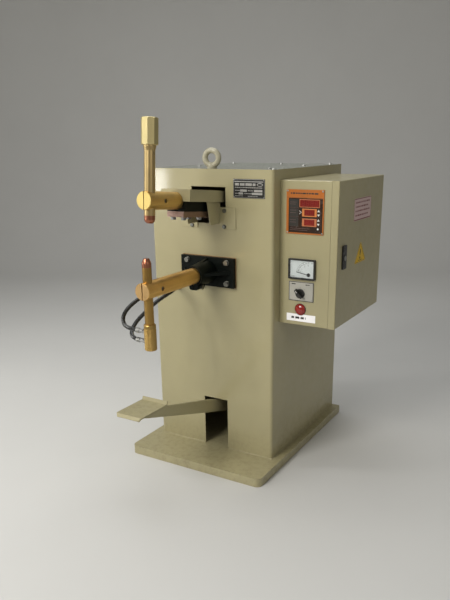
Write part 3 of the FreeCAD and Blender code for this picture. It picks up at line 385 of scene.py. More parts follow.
CAD_LOOKS = {
    "base_plate": "paint_base", "cabinet_shell": "paint", "rear_panel": "paint", "top_cover": "paint_lid",
    "cover_screws": "zinc", "eye_bolt": "paint_eye", "nameplate": "plate_black", "mouth_guards": "paint",
    "arm_bracket": "black", "bracket_insulator": "laminate", "front_bolts": "bolt", "lower_arm": "brass_lo",
    "lower_holder": "brass_rod_lo", "lower_tip": "copper", "lower_cap": "brass_knurl", "hose_nipples": "steel",
    "hose_grommet": "rubber", "hose_outer": "hose", "hose_inner": "hose", "rocker_frame": "paint", "rocker_shaft": "steel",
    "upper_clamp": "black", "rocker_bolts": "steel_dark", "upper_arm": "brass_up", "upper_holder": "brass_rod",
    "upper_cap": "brass_cap", "upper_tip": "copper", "shunt": "foil", "rocker_bearings": "iron", "support_rails": "paint",
    "transformer_core": "core", "transformer_coils": "coil", "secondary_bus": "bus", "pedal_arm": "paint_pedal",
    "pedal_plate": "paint_pedal", "pedal_shaft": "steel", "pedal_bearings": "iron", "link_rod": "steel",
    "pressure_spring": "spring", "return_spring": "spring", "limit_switch": "plastic", "control_box": "paint",
    "control_door": "paint", "door_hinges": "steel", "latch_plate": "plastic", "door_lock": "zinc", "timer_bezel": "orange",
    "timer_face": "face", "key_time_up": "white", "key_time_down": "white", "key_heat_up": "white", "key_heat_down": "white",
    "meter_case": "plastic", "meter_needle": "plastic", "switch_plate": "grey", "selector_knob": "plastic",
    "lamp_lens": "lens", "thyristor_unit": "alu", "mains_gland": "plastic", "water_ports": "brass_port",
}
for name, look in CAD_LOOKS.items():
    mats = NODES[name].data.materials
    if not mats:
        mats.append(M[look])
    for k in range(len(mats)):
        mats[k] = M[look]

SLOTS = {"zinc": "steel", "steel": "steel", "hose": "rubber", "foil": "laminated_copper", "spring": "spring_steel",
         "brass_knurl": "brass"}


def new_piece(name, verts, faces, mats, face_mats=None, body=HOME, smooth=None):
    me = bpy.data.meshes.new(name)
    me.from_pydata([tuple(v) for v in verts], [], faces)
    for m in mats:
        me.materials.append(M[m])
    if face_mats:
        for p, i in zip(me.polygons, face_mats):
            p.material_index = i
    bm = bmesh.new()
    bm.from_mesh(me)
    bmesh.ops.recalc_face_normals(bm, faces=bm.faces)
    bm.to_mesh(me)
    bm.free()
    if smooth is not None:
        for p in me.polygons:
            p.use_smooth = True
        me.set_sharp_from_angle(angle=math.radians(smooth))
    o = bpy.data.objects.new(name, me)
    SCENE.collection.objects.link(o)
    if body:
        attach(o, body)
    return o


# ---------------------------------------------------------------- the two cooling hoses

OUTER = [(-46, -348.5, 572), (-76, -348.5, 572), (-107, -351, 580), (-124, -335, 606), (-122, -300, 631),
         (-111, -254, 652), (-102, -202, 664), (-105, -150, 670), (-118, -99, 669), (-140, -48, 662),
         (-140, -4, 662)]
INNER = [(-46, -348.5, 541), (-73, -348.5, 541), (-98, -330, 555), (-105, -293, 579), (-96, -251, 604),
         (-83, -204, 632), (-73, -155, 647), (-78, -108, 653), (-98, -76, 652), (-125, -50, 647),
         (-140, -27, 642), (-140, -4, 642)]


def spline_line(route):
    """The route's smooth centreline, as the NURBS curve gives it."""
    cu = bpy.data.curves.new("line", "CURVE")
    cu.dimensions = "3D"
    cu.resolution_u = 10
    s = cu.splines.new("NURBS")
    s.points.add(len(route) - 1)
    for p, q in zip(s.points, route):
        p.co = (q[0] * MM, q[1] * MM, q[2] * MM, 1.0)
    s.order_u = 3
    s.use_endpoint_u = True
    o = bpy.data.objects.new("line", cu)
    SCENE.collection.objects.link(o)
    bpy.context.view_layer.update()
    me = bpy.data.meshes.new_from_object(o.evaluated_get(bpy.context.evaluated_depsgraph_get()))
    pts = [v.co.copy() for v in me.vertices]
    bpy.data.objects.remove(o)
    if (pts[0] - Vector(route[0]) * MM).length > (pts[-1] - Vector(route[0]) * MM).length:
        pts.reverse()
    return pts


def tube(pts, r, sides=20, closed=False, wobble=0.0, rng=None):
    """Vertices and faces of a round tube along pts, ends closed."""
    n = len(pts)
    vs, fs = [], []
    t0 = (pts[1] - pts[0]).normalized()
    ref = Vector((0, 0, 1)) if abs(t0.z) < 0.9 else Vector((1, 0, 0))
    u = t0.cross(ref).normalized()
    for i in range(n):
        a = pts[max(0, i - 1)]
        b = pts[min(n - 1, i + 1)]
        t = (b - a).normalized()
        u = (u - t * u.dot(t)).normalized()
        v = t.cross(u)
        rr = r if not callable(r) else r(i / (n - 1))
        for k in range(sides):
            a2 = 2 * math.pi * k / sides
            vs.append(pts[i] + (u * math.cos(a2) + v * math.sin(a2)) * rr)
    for i in range(n - 1):
        for k in range(sides):
            k2 = (k + 1) % sides
            fs.append((i * sides + k, i * sides + k2, (i + 1) * sides + k2, (i + 1) * sides + k))
    fs.append(tuple(range(sides))[::-1])
    fs.append(tuple((n - 1) * sides + k for k in range(sides)))
    return vs, fs


def make_hose(name, node, route):
    pts = spline_line(route)
    vs, fs = tube(pts, 0.0065, 24)
    o = new_piece(name, vs, fs, ["hose"], body=None, smooth=50)
    # the ferrule and the clip on the hose's first straight stretch
    x0, y0, z0 = (c * MM for c in route[0])
    cv, cf, cm = [], [], []

    def ring(xa, xb, r0, r1, mat):
        b = len(cv)
        k = 32
        for x, r in ((xa, r0), (xa, r1), (xb, r1), (xb, r0)):
            for i in range(k):
                a = 2 * math.pi * i / k
                cv.append((x, y0 + r * math.cos(a), z0 + r * math.sin(a)))
        for j in range(4):
            j2 = (j + 1) % 4
            for i in range(k):
                i2 = (i + 1) % k
                cf.append((b + j * k + i, b + j * k + i2, b + j2 * k + i2, b + j2 * k + i))
                cm.append(mat)

    ring(x0 - 0.0005, x0 - 0.0125, 0.0066, 0.0078, 0)
    ring(x0 - 0.0030, x0 - 0.0048, 0.0078, 0.0083, 0)
    ring(x0 - 0.0080, x0 - 0.0098, 0.0078, 0.0083, 0)
    clip = new_piece(name + "_clip", cv, cf, ["zinc"], cm, body="lower_holder", smooth=40)
    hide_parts(node)
    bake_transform(o)
    return o


make_hose("cooling_hose_outer", "hose_outer", OUTER)
make_hose("cooling_hose_inner", "hose_inner", INNER)

# ---------------------------------------------------------------- flat work: panels, labels, displays


class Board:
    """Thin raised shapes on a flat face: u to the right, v up, w out of the face. Sizes in mm."""

    def __init__(self, origin, u, v):
        self.o = Vector(origin) * MM
        self.u, self.v = Vector(u), Vector(v)
        self.w = self.u.cross(self.v)
        self.vs, self.fs, self.fm, self.mats = [], [], [], []

    def _mat(self, mat):
        if mat not in self.mats:
            self.mats.append(mat)
        return self.mats.index(mat)

    def at(self, a, b, c):
        return self.o + (self.u * a + self.v * b + self.w * c) * MM

    def poly(self, pts, w0, w1, mat, top_in=0.0):
        i = self._mat(mat)
        n = len(pts)
        b = len(self.vs)
        cx = sum(p[0] for p in pts) / n
        cy = sum(p[1] for p in pts) / n
        rings = [(w0, 0.0), (w1 - min(top_in, (w1 - w0) * 0.5), 0.0), (w1, top_in)] if top_in else [(w0, 0.0), (w1, 0.0)]
        for w, inset in rings:
            for a, c in pts:
                d = math.hypot(a - cx, c - cy) or 1
                k = 1 - inset / d
                self.vs.append(self.at(cx + (a - cx) * k, cy + (c - cy) * k, w))
        for j in range(len(rings) - 1):
            for q in range(n):
                q2 = (q + 1) % n
                self.fs.append((b + j * n + q, b + j * n + q2, b + (j + 1) * n + q2, b + (j + 1) * n + q))
                self.fm.append(i)
        self.fs.append(tuple(b + q for q in range(n))[::-1])
        self.fs.append(tuple(b + (len(rings) - 1) * n + q for q in range(n)))
        self.fm += [i, i]

    def rect(self, a0, a1, b0, b1, w0, w1, mat, r=0.0, top_in=0.0, turn=0.0, seg=5):
        pts = []
        if r <= 0:
            pts = [(a0, b0), (a1, b0), (a1, b1), (a0, b1)]
        else:
            for cx, cy, s in ((a1 - r, b0 + r, -90), (a1 - r, b1 - r, 0), (a0 + r, b1 - r, 90), (a0 + r, b0 + r, 180)):
                for k in range(seg + 1):
                    a = math.radians(s + 90 * k / seg)
                    pts.append((cx + r * math.cos(a), cy + r * math.sin(a)))
        if turn:
            mx, my = (a0 + a1) / 2, (b0 + b1) / 2
            c, s = math.cos(math.radians(turn)), math.sin(math.radians(turn))
            pts = [(mx + (x - mx) * c - (y - my) * s, my + (x - mx) * s + (y - my) * c) for x, y in pts]
        self.poly(pts, w0, w1, mat, top_in)

    def frame(self, a0, a1, b0, b1, t, w0, w1, mat, tt=None):
        """A rectangular frame; tt gives left, right, bottom, top widths."""
        l, r, bt, tp = tt or (t, t, t, t)
        self.rect(a0, a0 + l, b0, b1, w0, w1, mat)
        self.rect(a1 - r, a1, b0, b1, w0, w1, mat)
        self.rect(a0 + l, a1 - r, b0, b0 + bt, w0, w1, mat)
        self.rect(a0 + l, a1 - r, b1 - tp, b1, w0, w1, mat)

    def disc(self, a, b, r, w0, w1, mat, n=32, top_in=0.0):
        self.poly([(a + r * math.cos(2 * math.pi * k / n), b + r * math.sin(2 * math.pi * k / n)) for k in range(n)],
                  w0, w1, mat, top_in)

    def screw(self, a, b, r, w0, h, mat="zinc", slot=True, turn=35):
        """A domed pan head with a cross recess, drawn as dark inlays."""
        self.disc(a, b, r, w0, w0 + h * 0.55, mat, 28)
        self.disc(a, b, r * 0.94, w0 + h * 0.55, w0 + h * 0.8, mat, 28, top_in=r * 0.16)
        self.disc(a, b, r * 0.70, w0 + h * 0.8, w0 + h, mat, 28, top_in=r * 0.2)
        for t in (turn, turn + 90):
            self.rect(a - r * 0.5, a + r * 0.5, b - r * 0.09, b + r * 0.09, w0 + h * 0.98, w0 + h * 1.02, "black_print", turn=t)

    def words(self, a0, a1, b, h, w0, w1, mat, rng, gap=1.2):
        """Rows of plain dashes where a label carries small print."""
        x = a0
        while x < a1 - 1.5:
            n = min(rng.uniform(2.2, 7.5) * h / 2.4, a1 - x)
            self.rect(x, x + n, b, b + h, w0, w1, mat)
            x += n + gap * h / 2.4

    def segments(self, a, b, w, h, w0, w1, mat, which="abcdefg", slant=0.08):
        t = w * 0.17
        g = t * 0.12

        def bar(x0, y0, x1, y1, horizontal):
            if horizontal:
                p = [(x0, y0), (x0 + t / 2, y0 - t / 2), (x1 - t / 2, y0 - t / 2), (x1, y0), (x1 - t / 2, y0 + t / 2), (x0 + t / 2, y0 + t / 2)]
            else:
                p = [(x0, y0), (x0 + t / 2, y0 + t / 2), (x0 + t / 2, y1 - t / 2), (x0, y1), (x0 - t / 2, y1 - t / 2), (x0 - t / 2, y0 + t / 2)]
            p = [(x + (y - b) * slant, y) for x, y in p]
            self.poly(p, w0, w1, mat)

        m = b + h / 2
        if "a" in which: bar(a + g, b + h, a + w - g, b + h, True)
        if "g" in which: bar(a + g, m, a + w - g, m, True)
        if "d" in which: bar(a + g, b, a + w - g, b, True)
        if "f" in which: bar(a, m + g, a, b + h - g, False)
        if "b" in which: bar(a + w, m + g, a + w, b + h - g, False)
        if "e" in which: bar(a, b + g, a, m - g, False)
        if "c" in which: bar(a + w, b + g, a + w, m - g, False)

    def done(self, name, body=HOME, smooth=None):
        return new_piece(name, self.vs, self.fs, self.mats, self.fm, body, smooth)


FRONT = ((1, 0, 0), (0, 0, 1))       # a face that looks towards -Y
SIDE = ((0, 1, 0), (0, 0, 1))        # a face that looks towards +X
rng = random.Random(7)

# timer: printed face, display windows, frames, screws (origin so that u = x, v = z)
b = Board((0, 46.1, 0), *FRONT)
for z0, z1 in ((932.0, 958.5), (903.5, 929.5), (872.5, 901.0)):
    b.rect(278.5, 311.5, z0, z1, -0.05, 0.18, "panel_dark", 0.8)
b.rect(315, 386, 933.5, 959.0, -0.05, 0.9, "pink_line", 1.6, 0.25)
b.rect(317.2, 383.8, 935.7, 956.8, 0.85, 1.05, "window", 0.6)
for k in range(4):
    b.segments(323.5 + 15.2 * k, 938.8, 8.4, 15.0, 1.04, 1.09, "segment")
for z0 in (906.0, 875.0):
    m = "orange_line" if z0 > 900 else "pink_line"
    b.rect(325.0, 376.0, z0 - 1.4, z0 + 23.6, -0.05, 0.9, m, 1.6, 0.25)
    b.rect(332.5, 368.5, z0 + 1.6, z0 + 20.6, 0.85, 1.05, "window", 0.6)
    for k in range(2):
        b.segments(339.2 + 14.4 * k, z0 + 4.6, 8.0, 12.8, 1.04, 1.09, "segment")
b.poly([(314, 922), (321, 917.3), (314, 912.6), (315.4, 911.4), (322.8, 917.3), (315.4, 923.2)][::-1], -0.05, 0.25, "white")
for z in (948, 942, 922.5, 914.5, 892, 884.5):
    b.words(281.5, 308 + rng.uniform(-6, 0), z, 1.6, 0.17, 0.26, "dim", rng)
for z in (931.0, 902.3, 871.5):
    b.rect(279, 313, z, z + 0.7, -0.05, 0.2, "dim")
b.words(281.5, 352, 865.0, 1.5, -0.02, 0.2, "dim", rng)
b.words(281.5, 344, 859.6, 1.3, -0.02, 0.2, "dim", rng)
b.disc(381.0, 866.5, 3.1, -0.05, 1.6, "white", 24, 0.8)
b.disc(381.0, 866.5, 4.3, -0.05, 0.5, "plastic", 28, 0.2)
for z in (902.2,):
    b.rect(377.6, 378.1, 875.0, 929.0, -0.05, 0.12, "dim")
    b.rect(388.4, 388.9, 875.0, 929.0, -0.05, 0.12, "dim")
b.done("timer_print")
b = Board((0, 45.1, 0), *FRONT)
b.rect(282, 389, 973.2, 981.4, -0.05, 0.10, "orange", 0.6)
b.words(284, 380, 974.8, 4.6, 0.09, 0.20, "black_print", rng)
b.rect(270.6, 398.4, 963.4, 964.1, -0.05, 0.15, "black_print")
for x, z, t in ((273.2, 984.6, 20), (395.6, 984.6, 70), (273.2, 852.4, 5), (395.6, 852.4, 50)):
    b.screw(x, z, 2.9, 0.0, 1.9, turn=t)
b.done("timer_screws", smooth=35)

# meter: dial with its scale and figures, glass, front screws
b = Board((0, 44.6, 0), *FRONT)
b.rect(286.3, 371.7, 704.3, 761.7, -0.2, 0.5, "dial", 1.2)
px, pz = 353.0, 715.1
for R, t in ((44.0, 0.5), (37.5, 0.25)):
    prev = None
    for k in range(37):
        a = math.radians(170 - 80 * k / 36)
        q = (px + R * math.cos(a), pz + R * math.sin(a), px + (R + t) * math.cos(a), pz + (R + t) * math.sin(a))
        if prev:
            b.poly([(prev[0], prev[1]), (prev[2], prev[3]), (q[2], q[3]), (q[0], q[1])], 0.45, 0.56, "black_print")
        prev = q
for k in range(31):
    a = math.radians(170 - 80 * k / 30)
    r1 = 43.6 if k % 10 == 0 else (41.6 if k % 5 == 0 else 40.2)
    r0 = 37.5
    t = 0.34 if k % 5 == 0 else 0.17
    c, s = math.cos(a), math.sin(a)
    b.poly([(px + r0 * c - t * s, pz + r0 * s + t * c), (px + r0 * c + t * s, pz + r0 * s - t * c),
            (px + r1 * c + t * s, pz + r1 * s - t * c), (px + r1 * c - t * s, pz + r1 * s + t * c)], 0.45, 0.56, "black_print")
SEG = {"0": "abcdef", "1": "bc", "2": "abged", "3": "abgcd"}
for n_, k in (("0", 2.2), ("1", 10), ("2", 20), ("3", 28.6)):
    a = math.radians(170 - 80 * k / 30)
    cx, cz = px + 31.5 * math.cos(a), pz + 31.5 * math.sin(a)
    b.segments(cx - 1.4, cz - 2.4, 2.8, 4.8, 0.45, 0.56, "black_print", SEG[n_], 0.0)
b.segments(362.5, 752.0, 3.0, 5.2, 0.45, 0.56, "black_print", "abcefg", 0.0)
b.disc(px, pz, 6.4, 0.45, 1.0, "plastic", 32, 0.3)
b.words(289, 303, 707.2, 1.1, 0.45, 0.56, "black_print", rng)
b.done("meter_dial")
b = Board((0, 40.4, 0), *FRONT)
b.rect(286.1, 371.9, 704.1, 761.9, 0.0, 0.9, "glass", 1.0)
b.done("meter_glass", smooth=30)
b = Board((0, 39.1, 0), *FRONT)
b.screw(329, 701.5, 1.7, 0.0, 0.7, "plastic", turn=10)
b.done("meter_zero_screw", smooth=35)

# switch: printed plate
b = Board((0, 45.1, 0), *FRONT)
b.frame(282.4, 371.6, 624.4, 689.6, 1.9, -0.05, 0.16, "black_print")
b.rect(292, 307, 680.0, 683.2, -0.05, 0.16, "black_print", 0.8)
b.words(343, 358, 679.6, 3.0, -0.05, 0.16, "black_print", rng)
for k in range(24):
    a = math.radians(15 * k)
    c, s = math.cos(a), math.sin(a)
    if k % 6 == 3 or k % 3 == 0:
        r0, r1, t = 19.5, 22.5, 0.45
        b.poly([(324 + r0 * c - t * s, 650 + r0 * s + t * c), (324 + r0 * c + t * s, 650 + r0 * s - t * c),
                (324 + r1 * c + t * s, 650 + r1 * s - t * c), (324 + r1 * c - t * s, 650 + r1 * s + t * c)], -0.05, 0.16, "black_print")
for x, z, t in ((288.0, 630.5, 15), (366.0, 630.5, 60), (366.0, 683.5, 40)):
    b.screw(x, z, 2.0, 0.0, 1.2, turn=t)
b.done("switch_print", smooth=35)
b = Board((0, 28.0, 0), *FRONT)
c, s = math.cos(math.radians(-45)), math.sin(math.radians(-45))
b.rect(323.3, 324.7, 635.5, 648.0, -0.10, 0.12, "white", turn=0)
ang = math.radians(135)
mx, mz = 324 + 10.5 * math.cos(ang), 650 + 10.5 * math.sin(ang)
b.vs, b.fs, b.fm, b.mats = [], [], [], []
b.rect(mx - 4.5, mx + 4.5, mz - 0.7, mz + 0.7, -0.15, 0.12, "white", turn=135)
b.done("knob_pointer_line", body="knob")

# plain white sticker under the lamp, with dashes for its print
b = Board((0, 48.1, 0), *FRONT)
b.rect(274, 380, 552.5, 578, -0.02, 0.22, "label", 1.2)
b.words(292, 345, 561.5, 7.0, 0.20, 0.29, "black_print", random.Random(3), 1.6)
b.done("panel_sticker")
b = Board((0, 48.1, 0), *FRONT)
for a in range(48):
    pass
n = 48
for k in range(n):
    a0, a1 = 2 * math.pi * k / n, 2 * math.pi * (k + 1) / n
    ri, ro = 19.15, 20.6
    b.poly([(324.5 + ri * math.cos(a0), 594.5 + ri * math.sin(a0)), (324.5 + ro * math.cos(a0), 594.5 + ro * math.sin(a0)),
            (324.5 + ro * math.cos(a1), 594.5 + ro * math.sin(a1)), (324.5 + ri * math.cos(a1), 594.5 + ri * math.sin(a1))],
           -0.05, 0.9, "plastic")
b.done("lamp_ring")

# nameplate on the cabinet front: bright border, plain light fields and dashes
lo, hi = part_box("nameplate")
b = Board((0, lo.y / MM, 0), *FRONT)
x0, x1, z0, z1 = lo.x / MM, hi.x / MM, lo.z / MM, hi.z / MM
b.frame(x0 + 1.0, x1 - 1.0, z0 + 1.0, z1 - 1.0, 0.9, -0.05, 0.25, "lid_steel")
b.rect(x0 + 5, x1 - 5, z1 - 9.5, z1 - 7.0, -0.05, 0.2, "lid_steel")
b.words(x0 + 7, x1 - 34, z1 - 21.5, 8.0, -0.05, 0.2, "lid_steel", random.Random(11), 1.0)
pts = [(x1 - 18 + 11 * math.cos(2 * math.pi * k / 36), z1 - 17.5 + 5.4 * math.sin(2 * math.pi * k / 36)) for k in range(36)]
b.poly(pts, -0.05, 0.22, "lid_steel")
pts = [(x1 - 18 + 8.6 * math.cos(2 * math.pi * k / 36), z1 - 17.5 + 3.5 * math.sin(2 * math.pi * k / 36)) for k in range(36)]
b.poly(pts, 0.20, 0.28, "plate_black")
b.words(x0 + 7, x1 - 8, z1 - 28.4, 2.6, -0.05, 0.2, "lid_steel", random.Random(12))
for r_, (zz, h) in enumerate(((z0 + 20.5, 7.0), (z0 + 11.5, 6.5), (z0 + 4.0, 5.5))):
    xs = [x0 + 6, x0 + (x1 - x0) * (0.46 if r_ != 1 else 0.34), x1 - 6]
    for a, c in zip(xs, xs[1:]):
        w_ = 0.42 if r_ < 2 else 0.7
        b.words(a + 1, a + (c - a) * w_ - 1, zz + h * 0.35, h * 0.34, -0.05, 0.2, "lid_steel", rng)
        if r_ < 2:
            b.rect(a + (c - a) * w_, c - 3, zz, zz + h, -0.05, 0.2, "lid_steel", 0.6)
for x, z in ((x0 + 3.6, z0 + 3.6), (x1 - 3.6, z0 + 3.6), (x0 + 3.6, z1 - 3.6), (x1 - 3.6, z1 - 3.6)):
    b.disc(x, z, 1.6, 0.0, 0.9, "zinc", 20, 0.7)
b.done("nameplate_print", smooth=30)

# door stickers: a pale sheet with a red edge, and a plain yellow triangle with a black edge
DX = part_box("control_door")[1].x / MM
b = Board((DX, 0, 0), *SIDE)
b.rect(187, 353, 879, 953, -0.02, 0.20, "pinkish", 1.5)
b.frame(188.0, 352.0, 880.0, 952.0, 3.0, 0.18, 0.27, "red_print", (1.4, 1.4, 3.6, 2.2))
for i, z in enumerate((935, 921, 907, 892.5)):
    b.words(199, 341 - (18 if i in (1, 3) else 0), z + 1.5, 5.2, 0.18, 0.27, "red_print", rng, 1.9)
b.done("door_sticker", body="door")
b = Board((DX, 0, 0), *SIDE)


def tri_pts(cx, cz, r, rr, seg=6):
    pts = []
    for k in range(3):
        a = math.radians(90 + 120 * k)
        qx, qz = cx + (r - 2 * rr) * math.cos(a), cz + (r - 2 * rr) * math.sin(a)
        for j in range(seg + 1):
            t = a + math.radians(-60 + 120 * j / seg)
            pts.append((qx + rr * math.cos(t), qz + rr * math.sin(t)))
    return pts


wide = lambda r, rr: [(266 + (x - 266) * 1.33, z) for x, z in tri_pts(266, 756, r, rr)]
b.poly(wide(49.2, 4.2), -0.02, 0.20, "yellow")
b.poly(wide(45.4, 2.6), 0.18, 0.24, "black_print")
b.poly(wide(42.6, 1.8), 0.22, 0.28, "yellow")
b.poly([(263.6, 778.0), (268.4, 778.0), (270.2, 769.0), (265.0, 756.5), (262.0, 756.5), (261.6, 766.0)], 0.26, 0.32, "black_print")
b.disc(263.5, 747.5, 4.2, 0.26, 0.32, "black_print", 24)
b.rect(247, 285, 738.5, 740.3, 0.26, 0.32, "black_print", 0.6)
b.done("door_triangle", body="door")

# latch plate: raised rim round the key
b = Board((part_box("latch_plate")[1].x / MM, 0, 0), *SIDE)
for k in range(40):
    a0, a1 = 2 * math.pi * k / 40, 2 * math.pi * (k + 1) / 40
    ri, ro = 8.9, 11.8
    b.poly([(105.5 + ri * math.cos(a0), 770 + ri * math.sin(a0)), (105.5 + ro * math.cos(a0), 770 + ro * math.sin(a0)),
            (105.5 + ro * math.cos(a1), 770 + ro * math.sin(a1)), (105.5 + ri * math.cos(a1), 770 + ri * math.sin(a1))],
           -0.1, 1.2, "plastic")
b.rect(93, 118, 740, 752, -0.1, 0.7, "plastic", 2.5, 0.4)
b.rect(93, 118, 793, 806, -0.1, 0.7, "plastic", 2.5, 0.4)
b.done("latch_rim", body="door", smooth=35)

# foam seal inside the door's edge
b = Board((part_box("control_box")[1].x / MM, 0, 0), *SIDE)
lo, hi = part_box("control_box")
b.frame(lo.y / MM + 7, hi.y / MM - 7, lo.z / MM + 7, hi.z / MM - 7, 5.0, -0.4, 0.32, "rubber")
b.done("door_seal")

# ---------------------------------------------------------------- springs


def coil(name, node, mat, body, turns, wire, r_mean, close=1.4, squash=None):
    lo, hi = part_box(node)
    cx, cy = (lo.x + hi.x) / 2, (lo.y + hi.y) / 2
    z0, z1 = lo.z + wire, hi.z - wire
    pts = []
    n = int(turns * 26)
    for i in range(n + 1):
        t = i / n
        a = 2 * math.pi * turns * t
        k = t * turns
        # closed end turns, an even pitch between
        free = turns - 2 * close
        h0 = 2 * wire * close
        if k < close:
            z = z0 + h0 * (k / close) * 0.98
        elif k > turns - close:
            z = z1 - h0 * ((turns - k) / close) * 0.98
        else:
            z = z0 + h0 * 0.98 + (z1 - z0 - 2 * h0 * 0.98) * (k - close) / free
        pts.append(Vector((cx + r_mean * math.cos(a), cy + r_mean * math.sin(a), z)))
    vs, fs = tube(pts, wire, 10)
    o = new_piece(name, vs, fs, [mat], body=body, smooth=60)
    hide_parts(node)
    if squash:
        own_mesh(o)
    return o


coil("pressure_coil", "pressure_spring", "spring", "link", 11.5, 0.0021, 0.0148)
rl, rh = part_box("return_spring")
coil("return_coil", "return_spring", "spring", HOME, 12.5, 0.0020, 0.0148, squash=("pedal_press", rh.z, 1 - 0.0208 / (rh.z - rl.z)))

# ---------------------------------------------------------------- laminated shunt

TILT = math.radians(4.9)
PY, PZ = 170.0, 929.2


def lev(y, h):
    c, s = math.cos(TILT), math.sin(TILT)
    return (PY + (y - PY) * c + h * s, PZ - (y - PY) * s + h * c)


line = [lev(-189, -41.2), lev(-58, -41.2), (-20.0, 901.0), (12.0, 894.5), (42.0, 883.0), (66.0, 866.0), (83.0, 843.0),
        (93.4, 815.0), (96.9, 785.0), (96.9, 735.0)]


def smooth_line(pts, per=7):
    out = []
    n = len(pts)
    for i in range(n - 1):
        p0, p1, p2, p3 = pts[max(0, i - 1)], pts[i], pts[i + 1], pts[min(n - 1, i + 2)]
        if i == 0:
            k = [0, 0.25, 0.5, 0.75]
            out += [(p1[0] + (p2[0] - p1[0]) * t, p1[1] + (p2[1] - p1[1]) * t) for t in k]
            continue
        for j in range(per):
            t = j / per
            out.append(tuple(0.5 * ((2 * p1[q]) + (p2[q] - p0[q]) * t + (2 * p0[q] - 5 * p1[q] + 4 * p2[q] - p3[q]) * t * t
                                    + (3 * p1[q] - p0[q] - 3 * p2[q] + p3[q]) * t ** 3) for q in (0, 1)))
    out.append(pts[-1])
    return out


sl = smooth_line(line)
vs, fs = [], []
FOILS = 13
for f in range(FOILS):
    h = -8.8 + 17.6 * (f + 0.5) / FOILS
    t = 17.6 / FOILS * 0.5 - 0.09
    j0, j1 = rng.uniform(0.0, 1.0), rng.uniform(-0.35, 0.35)
    bse = len(vs)
    m = len(sl)
    for i, (y, z) in enumerate(sl):
        a, c = sl[max(0, i - 1)], sl[min(m - 1, i + 1)]
        ty, tz = c[0] - a[0], c[1] - a[1]
        q = math.hypot(ty, tz)
        ty, tz = ty / q, tz / q
        ny, nz = -tz, ty
        sh = j0 if i == 0 else 0.0
        wob = 0.0 if i < 5 or i > m - 8 else 0.05 * math.sin(i * 0.9 + f)
        for dx, dn in ((-32 + j1, -t), (32 + j1, -t), (32 + j1, t), (-32 + j1, t)):
            yy = y + ny * (h + dn + wob) + ty * sh
            zz = z + nz * (h + dn + wob) + tz * sh
            vs.append(Vector((-5 + dx, yy, zz)) * MM)
    for i in range(m - 1):
        for k in range(4):
            k2 = (k + 1) % 4
            fs.append((bse + i * 4 + k, bse + i * 4 + k2, bse + (i + 1) * 4 + k2, bse + (i + 1) * 4 + k))
    fs.append((bse, bse + 1, bse + 2, bse + 3))
    e = bse + (m - 1) * 4
    fs.append((e + 3, e + 2, e + 1, e))
shunt = new_piece("foil_shunt", vs, fs, ["foil"], body=None, smooth=40)
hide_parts("shunt")
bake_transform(shunt)

# ---------------------------------------------------------------- knurled cap on the lower holder

lo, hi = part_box("lower_cap")
cx, cy, z0 = (lo.x + hi.x) / 2, (lo.y + hi.y) / 2, lo.z
R0 = (hi.x - lo.x) / 2
prof = [(0.0, 0.0), (0.0128, 0.0), (0.0170, 0.0), (0.0181, 0.0010), (R0 - 0.0006, 0.0024)]
NK, SIDES = 26, 26 * 7
zk0, zk1 = 0.0040, 0.0700
rows = 96
vs, fs = [], []
rings = []
for r, z in prof[1:]:
    rings.append([(r, z)] * SIDES)
for i in range(rows + 1):
    z = zk0 + (zk1 - zk0) * i / rows
    ring = []
    for k in range(SIDES):
        a = k / SIDES
        pitch = (zk1 - zk0) / 15.0
        p1 = abs(((a * NK + (z - zk0) / pitch) % 1.0) - 0.5) * 2
        p2 = abs(((a * NK - (z - zk0) / pitch) % 1.0) - 0.5) * 2
        depth = 0.00105 * max(0.0, 1.0 - 2.4 * min(p1, p2))
        ring.append((R0 - depth, z))
    rings.append(ring)
for r, z in ((R0 - 0.0007, 0.0706), (R0 - 0.0007, 0.0722), (R0 - 0.0001, 0.0728), (R0 - 0.0001, 0.0812), (0.0176, 0.0840), (0.0150, 0.0840),
             (0.01455, 0.0836), (0.01455, 0.0702)):
    rings.append([(r, z)] * SIDES)
for ring in rings:
    for k, (r, z) in enumerate(ring):
        a = 2 * math.pi * k / SIDES
        vs.append(Vector((cx + r * math.cos(a), cy + r * math.sin(a), z0 + z)))
for i in range(len(rings) - 1):
    for k in range(SIDES):
        k2 = (k + 1) % SIDES
        fs.append((i * SIDES + k, i * SIDES + k2, (i + 1) * SIDES + k2, (i + 1) * SIDES + k))
fs.append(tuple(range(SIDES))[::-1])
fs.append(tuple((len(rings) - 1) * SIDES + k for k in range(SIDES)))
cap = new_piece("knurled_cap", vs, fs, ["brass_knurl"], body="lower_holder", smooth=28)
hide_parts("lower_cap")

# ---------------------------------------------------------------- clamp screws in the arms


